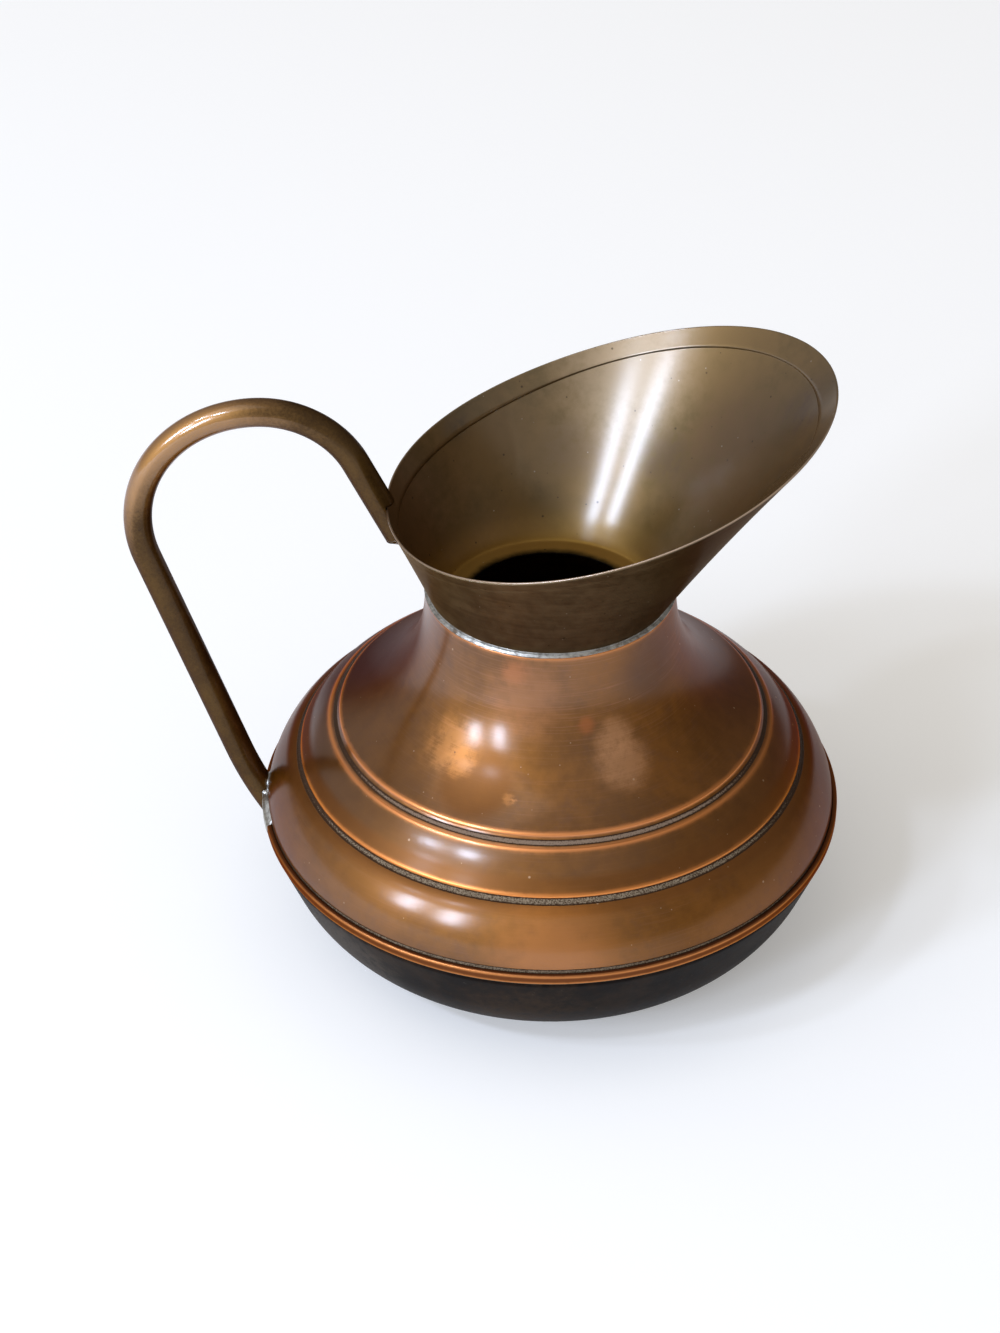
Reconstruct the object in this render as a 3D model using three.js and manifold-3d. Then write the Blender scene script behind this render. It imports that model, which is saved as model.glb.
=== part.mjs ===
// Copper and brass pitcher: a squat spun copper jug with a soldered brass pouring
// spout and a bent brass tube for a handle. Millimetres, +Z up. The origin is the
// centre of the flat base, +X points the way the spout pours, the handle is at -X.

import * as THREE from 'three';
import { mergeVertices } from 'three/addons/utils/BufferGeometryUtils.js';
import Module from 'manifold-3d';

const wasm = await Module();
wasm.setup();

// Driving sizes of the whole pitcher
const SHEET = 0.8;                 // copper and brass sheet
const CLEARANCE = 0.15;            // between two sheets that lie on each other
const CUT_GAP = 0.3;               // where one piece is cut to fit another
const TURN_STEPS = 48;             // facets round the vertical axis

// Lower bowl
const BASE_RADIUS = 51.4;          // flat disc that the pitcher stands on
const CORNER_RADIUS = 41.9;        // big round between base and wall
const WALL_FLARE = 0.385;          // how far the wall leans out for each mm up
const WALL_TOP = 40.4;

// Folded seam at the girth
const GIRTH_RADIUS = 95;           // copper wall just above the seam
const FLANGE_OUT = 0.75;           // doubled edge of the upper body
const FLANGE_Z = [43.35, 44.85];
const LIP_Z = [42.4, 45.8];        // the bowl's edge folded over that flange
const LIP_RADIUS = 96.7;
const LIP_ROUND = 0.6;

// Upper body: three steps, each a rounded lip, a steep riser and a ledge
const TORUS_FOOT_Z = 46.3;
const LOWER_STEP = { ledge: [84.6, 64.9], lip: [82.05, 66.35], lipRound: 1.15 };
const UPPER_STEP = { ledge: [71.2, 78.45], lip: [68.7, 79.8], lipRound: 1.2 };
const BEAD = { centre: [72.6, 76.35], round: 1.25 };
const BAND_SLOPE = 42.4;           // degrees, direction in which the band faces
const BAND_BULGE = 0.6;
const DOME_SLOPE = 64;             // degrees, direction in which the dome faces at its lip

// Neck
const NECK_RADIUS = 40.45;
const NECK_TOP = 127.2;
const BELL_REACH = [21, 22];       // how long the bell keeps its end directions

// Brass spout: a leaning cone that opens like a trumpet, cut along a sloping rim
const JOINT_RADIUS = 39.4;
const JOINT_Z = 128;
const CONE_FLARE = 0.508;          // how far the cone opens for each mm up
const CONE_TRUMPET = 0.00082;      // and how that grows with the height, per mm
const CONE_LEAN = 0.115;           // the cone's axis leans forwards
const RIM_HEIGHT = 44.5;           // rim above the joint, on the axis
const RIM_SLOPE = 0.294;
const RIM_TILT = 1.6;              // the rim stands higher at the far side, +Y
const RIM_SADDLE = 1;              // and waves a little, as a rim cut by hand does
const RIM_RIPPLE = 0.45;
const THROAT_RADIUS = 27.9;
const THROAT_Z = 120.4;
const FOOT_BEND = [35.2, 120.2];   // where the foot turns from a flat flange into the cone
const HEM_WIDTH = 7;               // rim sheet folded back on the inside
const HEM_THICKNESS = 0.7;

// Handle tube, bent in the plane of the spout
const TUBE_RADIUS = 4.6;
const TUBE_WALL = 1.2;
const TUBE_SIDES = 16;
const TUBE_STEPS = 42;
const FOOT_AT = [-104.2, 62];      // where the long leg starts to curve in to the girth
const FOOT_CURVE = { radius: 130, turn: 10.2 };
const FOOT_LEG = 5.5;
const BACK_LEG = { lean: 17.7, length: 80.5 };
const BACK_BEND = { radius: 40.7, turn: 107.1 };
const FRONT_BEND = { radius: 32.3, turn: 65.2 };
const FRONT_LEG = 29.5;

// Soft solder
const FILLET = 1.1;                // how far solder stands out round the ends of the tube
const SMEAR = { azimuth: 187, radius: 95.6, z: 44, size: [2, 11, 3.6] };
const NOTCH_PAST_RIM = 1.2;        // the tube is notched to clear the rim

const degrees = THREE.MathUtils.degToRad;
const point = (x, y) => new THREE.Vector2(x, y);

const finishes = {
  copper: new THREE.MeshStandardMaterial({ color: 0x9a5a30, roughness: 0.33, metalness: 1 }),
  sootedCopper: new THREE.MeshStandardMaterial({ color: 0x2b211d, roughness: 0.55, metalness: 0.8 }),
  brass: new THREE.MeshStandardMaterial({ color: 0x7a6440, roughness: 0.35, metalness: 1 }),
  tubeBrass: new THREE.MeshStandardMaterial({ color: 0x84602f, roughness: 0.36, metalness: 1 }),
  solder: new THREE.MeshStandardMaterial({ color: 0xa9a7a0, roughness: 0.42, metalness: 1 }),
};

// Points on an arc about [x, y], from one direction to another in degrees
function arc([x, y], radius, from, to, steps) {
  const points = [];
  for (let i = 0; i <= steps; i += 1) {
    const angle = degrees(from + ((to - from) * i) / steps);
    points.push(point(x + radius * Math.cos(angle), y + radius * Math.sin(angle)));
  }
  return points;
}

// Points on a cubic curve given by its ends and its two handles
function cubic(start, leave, arrive, end, steps) {
  const curve = new THREE.CubicBezierCurve(point(...start), point(...leave), point(...arrive), point(...end));
  return curve.getPoints(steps);
}

// A line of points moved sideways to its left by a distance, square to its run
function offset(line, distance) {
  return line.map((p, i) => {
    const before = line[Math.max(i - 1, 0)];
    const after = line[Math.min(i + 1, line.length - 1)];
    const run = after.clone().sub(before).normalize();
    return point(p.x - run.y * distance, p.y + run.x * distance);
  });
}

// A profile of radius and height turned about the vertical axis
function turned(profile) {
  const geometry = new THREE.LatheGeometry(profile, TURN_STEPS);
  geometry.rotateX(Math.PI / 2);
  return geometry;
}

function solid(geometry) {
  const bare = geometry.clone();
  bare.deleteAttribute('normal');
  bare.deleteAttribute('uv');
  const merged = mergeVertices(bare, 1e-4);
  const index = merged.index.array;
  const corners = merged.attributes.position.array;
  const kept = [];
  for (let i = 0; i < index.length; i += 3) {
    const [a, b, c] = [index[i], index[i + 1], index[i + 2]];
    if (a !== b && b !== c && c !== a) kept.push(a, b, c);
  }
  return new wasm.Manifold(new wasm.Mesh({
    numProp: 3,
    vertProperties: new Float32Array(corners),
    triVerts: new Uint32Array(kept),
  }));
}

function geometryOf(manifold) {
  const mesh = manifold.getMesh();
  const geometry = new THREE.BufferGeometry();
  geometry.setAttribute('position', new THREE.BufferAttribute(mesh.vertProperties, 3));
  geometry.setIndex(new THREE.BufferAttribute(mesh.triVerts, 1));
  geometry.computeVertexNormals();
  return geometry;
}

// Outside of the lower bowl from the base centre to the top of its wall
function bowlLine(steps) {
  const wallFacing = -THREE.MathUtils.radToDeg(Math.atan(WALL_FLARE));
  const corner = arc([BASE_RADIUS, CORNER_RADIUS], CORNER_RADIUS, -90, wallFacing, steps);
  const bend = corner[corner.length - 1];
  const top = point(bend.x + WALL_FLARE * (WALL_TOP - bend.y), WALL_TOP);
  return [point(0, 0), ...corner, top];
}

// The bowl's top edge: a seat under the flange, then the sheet folded over it
function lowerBowl() {
  const outside = bowlLine(9);
  const wall = outside[outside.length - 1];
  const [lipBottom, lipTop] = LIP_Z;
  const middle = LIP_RADIUS - LIP_ROUND;
  const pocket = LIP_RADIUS - SHEET;
  const seat = lipBottom + SHEET;
  const leaf = GIRTH_RADIUS + CLEARANCE;
  const fold = [
    point(wall.x - 0.25, lipBottom - 0.7),
    point(wall.x + 0.05, lipBottom - 0.15),
    ...arc([middle, lipBottom + LIP_ROUND], LIP_ROUND, -60, 0, 2),
    ...arc([middle, lipTop - LIP_ROUND], LIP_ROUND, 0, 90, 3),
    point(leaf, lipTop - 0.15),
    point(leaf, lipTop - SHEET),
    point(pocket, lipTop - SHEET),
    point(pocket, seat),
    point(wall.x - SHEET - 0.4, seat),
  ];
  const inside = offset(bowlLine(7), SHEET).reverse();
  inside[inside.length - 1].x = 0;
  return turned([...outside, ...fold, ...inside]);
}

// Outside of the upper body from the foot of the torus to the top of the neck
function bodyLine(detail) {
  const torus = cubic(
    [GIRTH_RADIUS, TORUS_FOOT_Z],
    [GIRTH_RADIUS, TORUS_FOOT_Z + 5.7],
    [GIRTH_RADIUS - 5, LOWER_STEP.ledge[1] - 2.3],
    LOWER_STEP.ledge,
    detail.torus,
  );
  const lowerLip = arc(LOWER_STEP.lip, LOWER_STEP.lipRound, -20, BAND_SLOPE, detail.lip);
  const bead = arc(BEAD.centre, BEAD.round, BAND_SLOPE, 75, detail.bead);
  const bandStart = lowerLip[lowerLip.length - 1];
  const bandMiddle = bandStart.clone().add(bead[0]).multiplyScalar(0.5);
  bandMiddle.x += BAND_BULGE * Math.cos(degrees(BAND_SLOPE));
  bandMiddle.y += BAND_BULGE * Math.sin(degrees(BAND_SLOPE));
  const upperLip = arc(UPPER_STEP.lip, UPPER_STEP.lipRound, -5, DOME_SLOPE, detail.lip);
  const dome = upperLip[upperLip.length - 1];
  const bellStart = [
    dome.x - BELL_REACH[0] * Math.sin(degrees(DOME_SLOPE)),
    dome.y + BELL_REACH[0] * Math.cos(degrees(DOME_SLOPE)),
  ];
  const bell = cubic(
    [dome.x, dome.y],
    bellStart,
    [NECK_RADIUS, NECK_TOP - BELL_REACH[1]],
    [NECK_RADIUS, NECK_TOP],
    detail.bell,
  );
  return [
    ...torus,
    point(LOWER_STEP.ledge[0] - 0.6, LOWER_STEP.ledge[1] + 0.25),
    ...lowerLip,
    bandMiddle,
    ...bead,
    point(...UPPER_STEP.ledge),
    point(UPPER_STEP.ledge[0] - 0.6, UPPER_STEP.ledge[1] + 0.3),
    ...upperLip,
    ...bell.slice(1),
  ];
}

const FINE = { torus: 8, lip: 3, bead: 2, bell: 10 };
const PLAIN = { torus: 5, lip: 1, bead: 1, bell: 7 };

function upperBody() {
  const [bottom, top] = FLANGE_Z;
  const edge = GIRTH_RADIUS + FLANGE_OUT;
  const flange = [
    point(GIRTH_RADIUS - SHEET, bottom),
    point(edge, bottom),
    point(edge, top),
    point(GIRTH_RADIUS, top),
  ];
  const inside = offset(bodyLine(PLAIN), SHEET).reverse();
  return turned([...flange, ...bodyLine(FINE), ...inside, flange[0]]);
}

// Everything inside the outer skin of the copper, grown by a gap: what the tube is cut by
function bodyCore(gap) {
  const lipBottom = LIP_Z[0];
  const lip = [
    point(LIP_RADIUS, lipBottom),
    point(LIP_RADIUS, LIP_Z[1]),
  ];
  const skin = offset([...bowlLine(9), ...lip, ...bodyLine(FINE)], -gap);
  skin[0].x = 0;
  return solid(turned([...skin, point(0, NECK_TOP)]));
}

// Height above the joint at which the rim cuts the cone in a direction
function rimReach(angle) {
  const wave = RIM_TILT * Math.sin(angle) + RIM_SADDLE * Math.cos(2 * angle) + RIM_RIPPLE * Math.sin(3 * angle);
  let height = RIM_HEIGHT;
  for (let i = 0; i < 12; i += 1) {
    const forward = coneRadius(height) * Math.cos(angle) + CONE_LEAN * height;
    height = RIM_HEIGHT + RIM_SLOPE * forward + wave;
  }
  return height;
}

function coneRadius(height) {
  return JOINT_RADIUS + CONE_FLARE * height + CONE_TRUMPET * height * height;
}

// A point of the cone: direction, height above the joint, distance inside the sheet's face
function conePoint(angle, height, depth) {
  const cos = Math.cos(angle);
  const sin = Math.sin(angle);
  const opening = CONE_FLARE + 2 * CONE_TRUMPET * height;
  const face = new THREE.Vector3(cos, sin, -(opening + CONE_LEAN * cos)).normalize();
  const reach = coneRadius(height);
  const onFace = new THREE.Vector3(reach * cos + CONE_LEAN * height, reach * sin, JOINT_Z + height);
  return onFace.addScaledVector(face, -depth);
}

// The spout's foot turned in inside the neck, as radius and height from throat to joint
function spoutFoot(steps) {
  return cubic(
    [THROAT_RADIUS, THROAT_Z],
    FOOT_BEND,
    FOOT_BEND,
    [JOINT_RADIUS, JOINT_Z],
    steps,
  );
}

// One closed section of the spout in a direction, outside first and then back inside
function spoutSection(angle) {
  const around = (p) => new THREE.Vector3(p.x * Math.cos(angle), p.x * Math.sin(angle), p.y);
  const footOutside = spoutFoot(4);
  const footInside = offset(footOutside, SHEET).reverse();
  const rim = rimReach(angle);
  const hemFoot = rim - HEM_WIDTH / Math.hypot(1, CONE_FLARE);
  const doubled = SHEET + HEM_THICKNESS;
  return [
    ...footOutside.map(around),
    conePoint(angle, rim * 0.33, 0),
    conePoint(angle, rim * 0.66, 0),
    conePoint(angle, rim - 0.5, 0),
    conePoint(angle, rim, doubled * 0.3),
    conePoint(angle, rim, doubled * 0.7),
    conePoint(angle, rim - 0.5, doubled),
    conePoint(angle, hemFoot, doubled),
    conePoint(angle, hemFoot - 0.6, SHEET),
    conePoint(angle, rim * 0.5, SHEET),
    conePoint(angle, 0.6, SHEET),
    ...footInside.slice(1).map(around),
  ];
}

// A skin through equal closed sections that follow each other round the axis
function ringOfSections(sections) {
  const count = sections[0].length;
  const corners = sections.flat().flatMap((p) => [p.x, p.y, p.z]);
  const faces = [];
  for (let i = 0; i < sections.length; i += 1) {
    const next = (i + 1) % sections.length;
    for (let j = 0; j < count; j += 1) {
      const a = i * count + j;
      const b = next * count + j;
      const c = next * count + ((j + 1) % count);
      const d = i * count + ((j + 1) % count);
      faces.push(a, b, c, a, c, d);
    }
  }
  const geometry = new THREE.BufferGeometry();
  geometry.setAttribute('position', new THREE.Float32BufferAttribute(corners, 3));
  geometry.setIndex(faces);
  geometry.computeVertexNormals();
  return geometry;
}

function spout() {
  const sections = [];
  for (let i = 0; i < TURN_STEPS; i += 1) {
    sections.push(spoutSection((i / TURN_STEPS) * 2 * Math.PI));
  }
  return ringOfSections(sections);
}

// The cone filled up, grown by a gap and carried on past the rim: what the tube is cut by
function spoutCore(gap, pastRim) {
  const corners = [0, 0, JOINT_Z - 2];
  const faces = [];
  const last = 2 * TURN_STEPS + 1;
  for (let i = 0; i < TURN_STEPS; i += 1) {
    const angle = (i / TURN_STEPS) * 2 * Math.PI;
    corners.push(...conePoint(angle, -2, -gap).toArray());
    corners.push(...conePoint(angle, rimReach(angle) + pastRim, -gap).toArray());
  }
  corners.push(0, 0, JOINT_Z + RIM_HEIGHT + pastRim);
  for (let i = 0; i < TURN_STEPS; i += 1) {
    const low = 1 + 2 * i;
    const nextLow = 1 + 2 * ((i + 1) % TURN_STEPS);
    faces.push(0, nextLow, low);
    faces.push(low, nextLow, nextLow + 1, low, nextLow + 1, low + 1);
    faces.push(last, low + 1, nextLow + 1);
  }
  const geometry = new THREE.BufferGeometry();
  geometry.setAttribute('position', new THREE.Float32BufferAttribute(corners, 3));
  geometry.setIndex(faces);
  return solid(geometry);
}

// Centre line of the handle from its foot over the bend to the spout. It is made of
// straight legs and arcs that follow each other smoothly; extra carries on both ends.
function handlePath(extra) {
  const runs = [
    { length: FOOT_LEG + extra, turn: 0, steps: 2 },
    { length: FOOT_CURVE.radius * degrees(FOOT_CURVE.turn), turn: FOOT_CURVE.turn, steps: 3 },
    { length: BACK_LEG.length, turn: 0, steps: 8 },
    { length: BACK_BEND.radius * degrees(BACK_BEND.turn), turn: BACK_BEND.turn, steps: 16 },
    { length: FRONT_BEND.radius * degrees(FRONT_BEND.turn), turn: FRONT_BEND.turn, steps: 9 },
    { length: FRONT_LEG + extra, turn: 0, steps: 4 },
  ];
  const lean = degrees(BACK_LEG.lean + FOOT_CURVE.turn);
  const sink = degrees(BACK_LEG.lean + FOOT_CURVE.turn / 2);
  const curveChord = 2 * FOOT_CURVE.radius * Math.sin(degrees(FOOT_CURVE.turn) / 2);
  const at = new THREE.Vector3(
    FOOT_AT[0] + curveChord * Math.sin(sink) + (FOOT_LEG + extra) * Math.sin(lean),
    0,
    FOOT_AT[1] - curveChord * Math.cos(sink) - (FOOT_LEG + extra) * Math.cos(lean),
  );
  const points = [at.clone()];
  let heading = lean;
  for (const { length, turn, steps } of runs) {
    const stride = length / steps;
    const swing = degrees(turn) / steps;
    for (let i = 0; i < steps; i += 1) {
      heading -= swing / 2;
      at.x -= stride * Math.sin(heading);
      at.z += stride * Math.cos(heading);
      heading -= swing / 2;
      points.push(at.clone());
    }
  }
  return points;
}

// A tube of round section through the points, with a ring of corners at each of them
function tubeAlong(points, radius, bore) {
  const path = new THREE.CurvePath();
  for (let i = 1; i < points.length; i += 1) {
    path.add(new THREE.LineCurve3(points[i - 1], points[i]));
  }
  const section = new THREE.Shape();
  section.absarc(0, 0, radius, 0, 2 * Math.PI, false);
  if (bore > 0) {
    const hole = new THREE.Path();
    hole.absarc(0, 0, bore, 0, 2 * Math.PI, true);
    section.holes.push(hole);
  }
  return new THREE.ExtrudeGeometry(section, {
    steps: TUBE_STEPS,
    curveSegments: TUBE_SIDES / 2,
    bevelEnabled: false,
    extrudePath: path,
  });
}

function handle(body, funnel) {
  const tube = solid(tubeAlong(handlePath(0), TUBE_RADIUS, TUBE_RADIUS - TUBE_WALL));
  return tube.subtract(body).subtract(funnel);
}

// Solder along the cut end of the tube: it fills the corner between tube and sheet
function tubeFillet(fatSheet, sheet) {
  const fatTube = solid(tubeAlong(handlePath(FILLET), TUBE_RADIUS + FILLET, 0));
  const tube = solid(tubeAlong(handlePath(CUT_GAP), TUBE_RADIUS + CUT_GAP, 0));
  return fatTube.intersect(fatSheet).subtract(tube).subtract(sheet);
}

// Solder that ran along the girth seam beside the foot of the tube
function solderSmear(sheet) {
  const smear = new THREE.SphereGeometry(1, 16, 8);
  smear.scale(...SMEAR.size);
  smear.translate(SMEAR.radius, 0, SMEAR.z);
  smear.rotateZ(degrees(SMEAR.azimuth));
  const tube = solid(tubeAlong(handlePath(CUT_GAP), TUBE_RADIUS + CUT_GAP, 0));
  return solid(smear).subtract(tube).subtract(sheet);
}

// Fillet of solder that lies on the copper edge and against the brass cone
function neckSolder() {
  const bottom = NECK_TOP + CLEARANCE;
  return turned([
    point(JOINT_RADIUS - 0.05, bottom),
    point(NECK_RADIUS + 0.1, bottom),
    point(NECK_RADIUS + 0.4, bottom + 0.7),
    point(NECK_RADIUS + 0.3, bottom + 1.6),
    point(NECK_RADIUS + 0.15, bottom + 2.1),
    point(JOINT_RADIUS - 0.05, bottom),
  ]);
}

// Fillet inside the girth seam, which makes the fold watertight
function seamSolder() {
  const wall = GIRTH_RADIUS - SHEET - CLEARANCE;
  const [flangeBottom] = FLANGE_Z;
  return turned([
    point(wall - 0.45, flangeBottom - 0.05),
    point(wall, flangeBottom - 0.6),
    point(wall, flangeBottom + 0.9),
    point(wall - 0.45, flangeBottom - 0.05),
  ]);
}

const piece = (name, geometry, finish) => {
  const mesh = new THREE.Mesh(geometry, finish);
  mesh.name = name;
  return mesh;
};

const copperCore = bodyCore(CUT_GAP);
const funnel = spoutCore(CUT_GAP, NOTCH_PAST_RIM);
const footSolder = tubeFillet(bodyCore(FILLET), copperCore).add(solderSmear(copperCore));
const topSolder = tubeFillet(spoutCore(FILLET, 0), funnel);

const pitcher = new THREE.Group();
pitcher.name = 'pitcher';
pitcher.add(
  piece('lower_bowl', lowerBowl(), finishes.sootedCopper),
  piece('upper_body', upperBody(), finishes.copper),
  piece('spout', spout(), finishes.brass),
  piece('handle', geometryOf(handle(copperCore, funnel)), finishes.tubeBrass),
  piece('neck_solder', neckSolder(), finishes.solder),
  piece('seam_solder', seamSolder(), finishes.solder),
  piece('handle_foot_solder', geometryOf(footSolder), finishes.solder),
  piece('handle_top_solder', geometryOf(topSolder), finishes.solder),
);

export default pitcher;
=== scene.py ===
"""Copper and brass pitcher: fine surfaces, worn finishes and a plain studio.

A squat spun copper body, folded over the edge of a blackened lower bowl, carries a soldered
brass pouring spout and a bent brass tube for a handle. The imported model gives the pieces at
their real size. Each one is replaced here by a finely worked surface of the same sizes.
Lengths are in millimetres in every class and become metres where a mesh is made. The origin
is the centre of the flat base, +Z is up and the spout pours towards +X.
"""

import logging
import math
from collections.abc import Mapping, Sequence
from dataclasses import dataclass, field
from enum import Enum
from typing import Protocol

import bpy
import numpy as np
from mathutils import Matrix, Vector

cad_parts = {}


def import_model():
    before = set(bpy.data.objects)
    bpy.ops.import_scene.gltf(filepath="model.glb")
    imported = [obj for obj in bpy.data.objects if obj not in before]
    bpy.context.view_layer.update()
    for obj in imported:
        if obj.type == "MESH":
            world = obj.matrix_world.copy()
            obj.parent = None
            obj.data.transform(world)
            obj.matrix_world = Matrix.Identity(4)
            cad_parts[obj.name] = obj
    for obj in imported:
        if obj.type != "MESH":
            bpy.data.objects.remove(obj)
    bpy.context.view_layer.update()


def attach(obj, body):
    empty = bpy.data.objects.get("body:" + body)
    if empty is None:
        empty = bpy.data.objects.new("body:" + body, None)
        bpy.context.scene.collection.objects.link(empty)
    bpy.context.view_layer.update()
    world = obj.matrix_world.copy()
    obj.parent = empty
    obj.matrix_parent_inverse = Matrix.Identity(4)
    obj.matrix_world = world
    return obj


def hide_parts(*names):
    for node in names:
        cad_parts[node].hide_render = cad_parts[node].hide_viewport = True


LOG = logging.getLogger("pitcher")
MM = 0.001
BODY = "root"
SAME_POINT = 1e-4

Array = np.ndarray
Colour = tuple[float, float, float]
Place = tuple[float, float, float]
Flat = tuple[float, float]
# Where a change starts and where it is complete.
Slope = tuple[float, float]
# A noise: size of its lumps in millimetres, detail and roughness.
Lumps = tuple[float, float, float]
# Dots: size of their cells in millimetres, radius in cells and share of the cells that have one.
Dots = tuple[float, float, float]


class Slot(Enum):
    """The record's material slots, one given to each piece."""

    COPPER = "polished_copper"
    SOOTED = "sooted_copper"
    SPOUT = "spout_brass"
    HANDLE = "handle_brass"
    SOLDER = "tin_solder"


# Lines and surfaces

def arc(centre: Flat, radius: float, start: float, end: float, count: int) -> Array:
    """Points on a circle: centre plus radius times cosine and sine of an even fan of angles.

    Args:
        centre: The circle's centre.
        radius: Its radius.
        start: First direction in degrees.
        end: Last direction in degrees.
        count: How many points.

    Returns:
        The points, one row each.
    """
    angle = np.radians(np.linspace(start, end, count))
    return np.stack([centre[0] + radius * np.cos(angle), centre[1] + radius * np.sin(angle)], axis=1)


def shares(start: float, end: float, count: int) -> Array:
    """Even values from start to end, one row each."""
    return np.linspace(start, end, count)[:, None]


def cubic(start: Flat, leave: Flat, arrive: Flat, end: Flat, count: int) -> Array:
    """Points on a cubic curve: its ends and handles weighted by the four Bernstein terms.

    Args:
        start: First end.
        leave: Handle that the curve leaves towards.
        arrive: Handle that it arrives from.
        end: Last end.
        count: How many points.

    Returns:
        The points, one row each.
    """
    t = shares(0.0, 1.0, count)
    s = 1.0 - t
    corners = [np.array(corner, dtype=float) for corner in (start, leave, arrive, end)]
    return s**3 * corners[0] + 3 * s * s * t * corners[1] + 3 * s * t * t * corners[2] + t**3 * corners[3]


def straight(start: Flat, end: Flat, count: int) -> Array:
    """Evenly spaced points from one end of a straight line to the other."""
    return np.linspace(np.array(start, dtype=float), np.array(end, dtype=float), count)


def joined(*stretches: Array | Sequence[Flat]) -> Array:
    """One line through several stretches, leaving out a point that repeats the one before."""
    line = np.vstack([np.atleast_2d(np.array(stretch, dtype=float)) for stretch in stretches])
    return line[np.concatenate([[True], steps_of(line) > SAME_POINT])]


def steps_of(line: Array) -> Array:
    """Distance from each point of the line to the next."""
    return np.linalg.norm(np.diff(line, axis=0), axis=1)


def summed(steps: Array | Sequence[float]) -> Array:
    """Running sum of the steps, starting at zero."""
    return np.concatenate([[0.0], np.cumsum(steps)])


def run_along(line: Array) -> Array:
    """Length of the line up to each of its points."""
    return summed(steps_of(line))


def unit(vectors: Array) -> Array:
    """The vectors, each divided by its own length."""
    return vectors / np.linalg.norm(vectors, axis=-1, keepdims=True)


def offset(line: Array, distance: float) -> Array:
    """The line moved to its left: each point goes square to the chord between its neighbours."""
    run = unit(np.gradient(line, axis=0))
    return line + distance * np.stack([-run[:, 1], run[:, 0]], axis=1)


def bell(distance: Array, width: float) -> Array:
    """A smooth hump of height one: e to the minus squared distance over width."""
    return np.exp(-((distance / width) ** 2))


def humps(along: Array, centres: Sequence[float], width: float) -> Array:
    """The highest of several humps, one round each centre, along a line."""
    gaps = along[:, None] - np.array(centres)[None, :]
    return bell(gaps, width).max(axis=1)


@dataclass(frozen=True)
class Wavy:
    """An uneven value round a ring: a mean and drawn waves about it.

    The waves are a sum of sines whose whole number of turns runs from lowest to highest, each
    with a drawn phase, and weaker the faster it waves. They reach about the amount both ways.
    """

    seed: int
    lowest: int
    highest: int
    amount: float
    mean: float = 0.0

    def at(self, angle: Array) -> Array:
        """The value in each direction, in radians, round the ring.

        Args:
            angle: Directions round the ring in radians.

        Returns:
            One value for each direction.
        """
        turns = np.arange(self.lowest, self.highest + 1)
        draw = np.random.default_rng(self.seed)
        phase = draw.uniform(0.0, 2 * math.pi, turns.size)
        weight = draw.uniform(0.4, 1.0, turns.size) / np.sqrt(turns)
        total = (weight * np.sin(turns * angle[..., None] + phase)).sum(axis=-1)
        return self.mean + self.amount * (total / (np.abs(weight).sum() * 0.6))


@dataclass
class Patch:
    """A grid of points in millimetres, rows by columns, that becomes a closed skin.

    A grid closes across its columns, and across its rows too or with a pole at either end.
    """

    points: Array
    rows_close: bool = False
    pole_first: bool = False
    pole_last: bool = False
    marks: dict[str, Array] = field(default_factory=dict)

    def corners(self) -> Array:
        """Index of the point that each place of the grid uses: a pole uses one for its row.

        Returns:
            Row by column numbers of points.
        """
        rows, columns = self.points.shape[:2]
        index = np.arange(rows * columns).reshape(rows, columns)
        if self.pole_first:
            index[0, :] = index[0, 0]
        if self.pole_last:
            index[-1, :] = index[-1, 0]
        return index

    def faces(self) -> Array:
        """Four corners for each cell of the grid, where a pole's cell repeats one corner.

        Returns:
            Numbers of four points for each cell.
        """
        index = self.corners()
        below = np.vstack([index, index[:1]]) if self.rows_close else index
        right = np.roll(below, -1, axis=1)
        cells = np.stack([below[:-1], right[:-1], right[1:], below[1:]], axis=-1)
        return cells.reshape(-1, 4)

    def volume(self) -> float:
        """Six times the volume inside the faces, below zero where they point inwards.

        Returns:
            The sum over the faces, in cubic millimetres.
        """
        cells = self.faces()
        corner = self.points.reshape(-1, 3)[cells]
        first = np.cross(corner[:, 1], corner[:, 2])
        second = np.cross(corner[:, 2], corner[:, 3])
        return float((corner[:, 0] * (first + second)).sum())


def gathered(patches: Sequence[Patch]) -> tuple[Array, Array]:
    """Points of all patches, and their four-cornered cells turned outwards.

    Args:
        patches: Closed grids.

    Returns:
        The points, and for each cell the numbers of its four.
    """
    points, cells, shift = [], [], 0
    for patch in patches:
        grid_cells = patch.faces()
        if patch.volume() < 0:
            grid_cells = grid_cells[:, ::-1]
        points.append(patch.points.reshape(-1, 3))
        cells.append(grid_cells + shift)
        shift += points[-1].shape[0]
    return np.vstack(points), np.vstack(cells)


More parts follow.
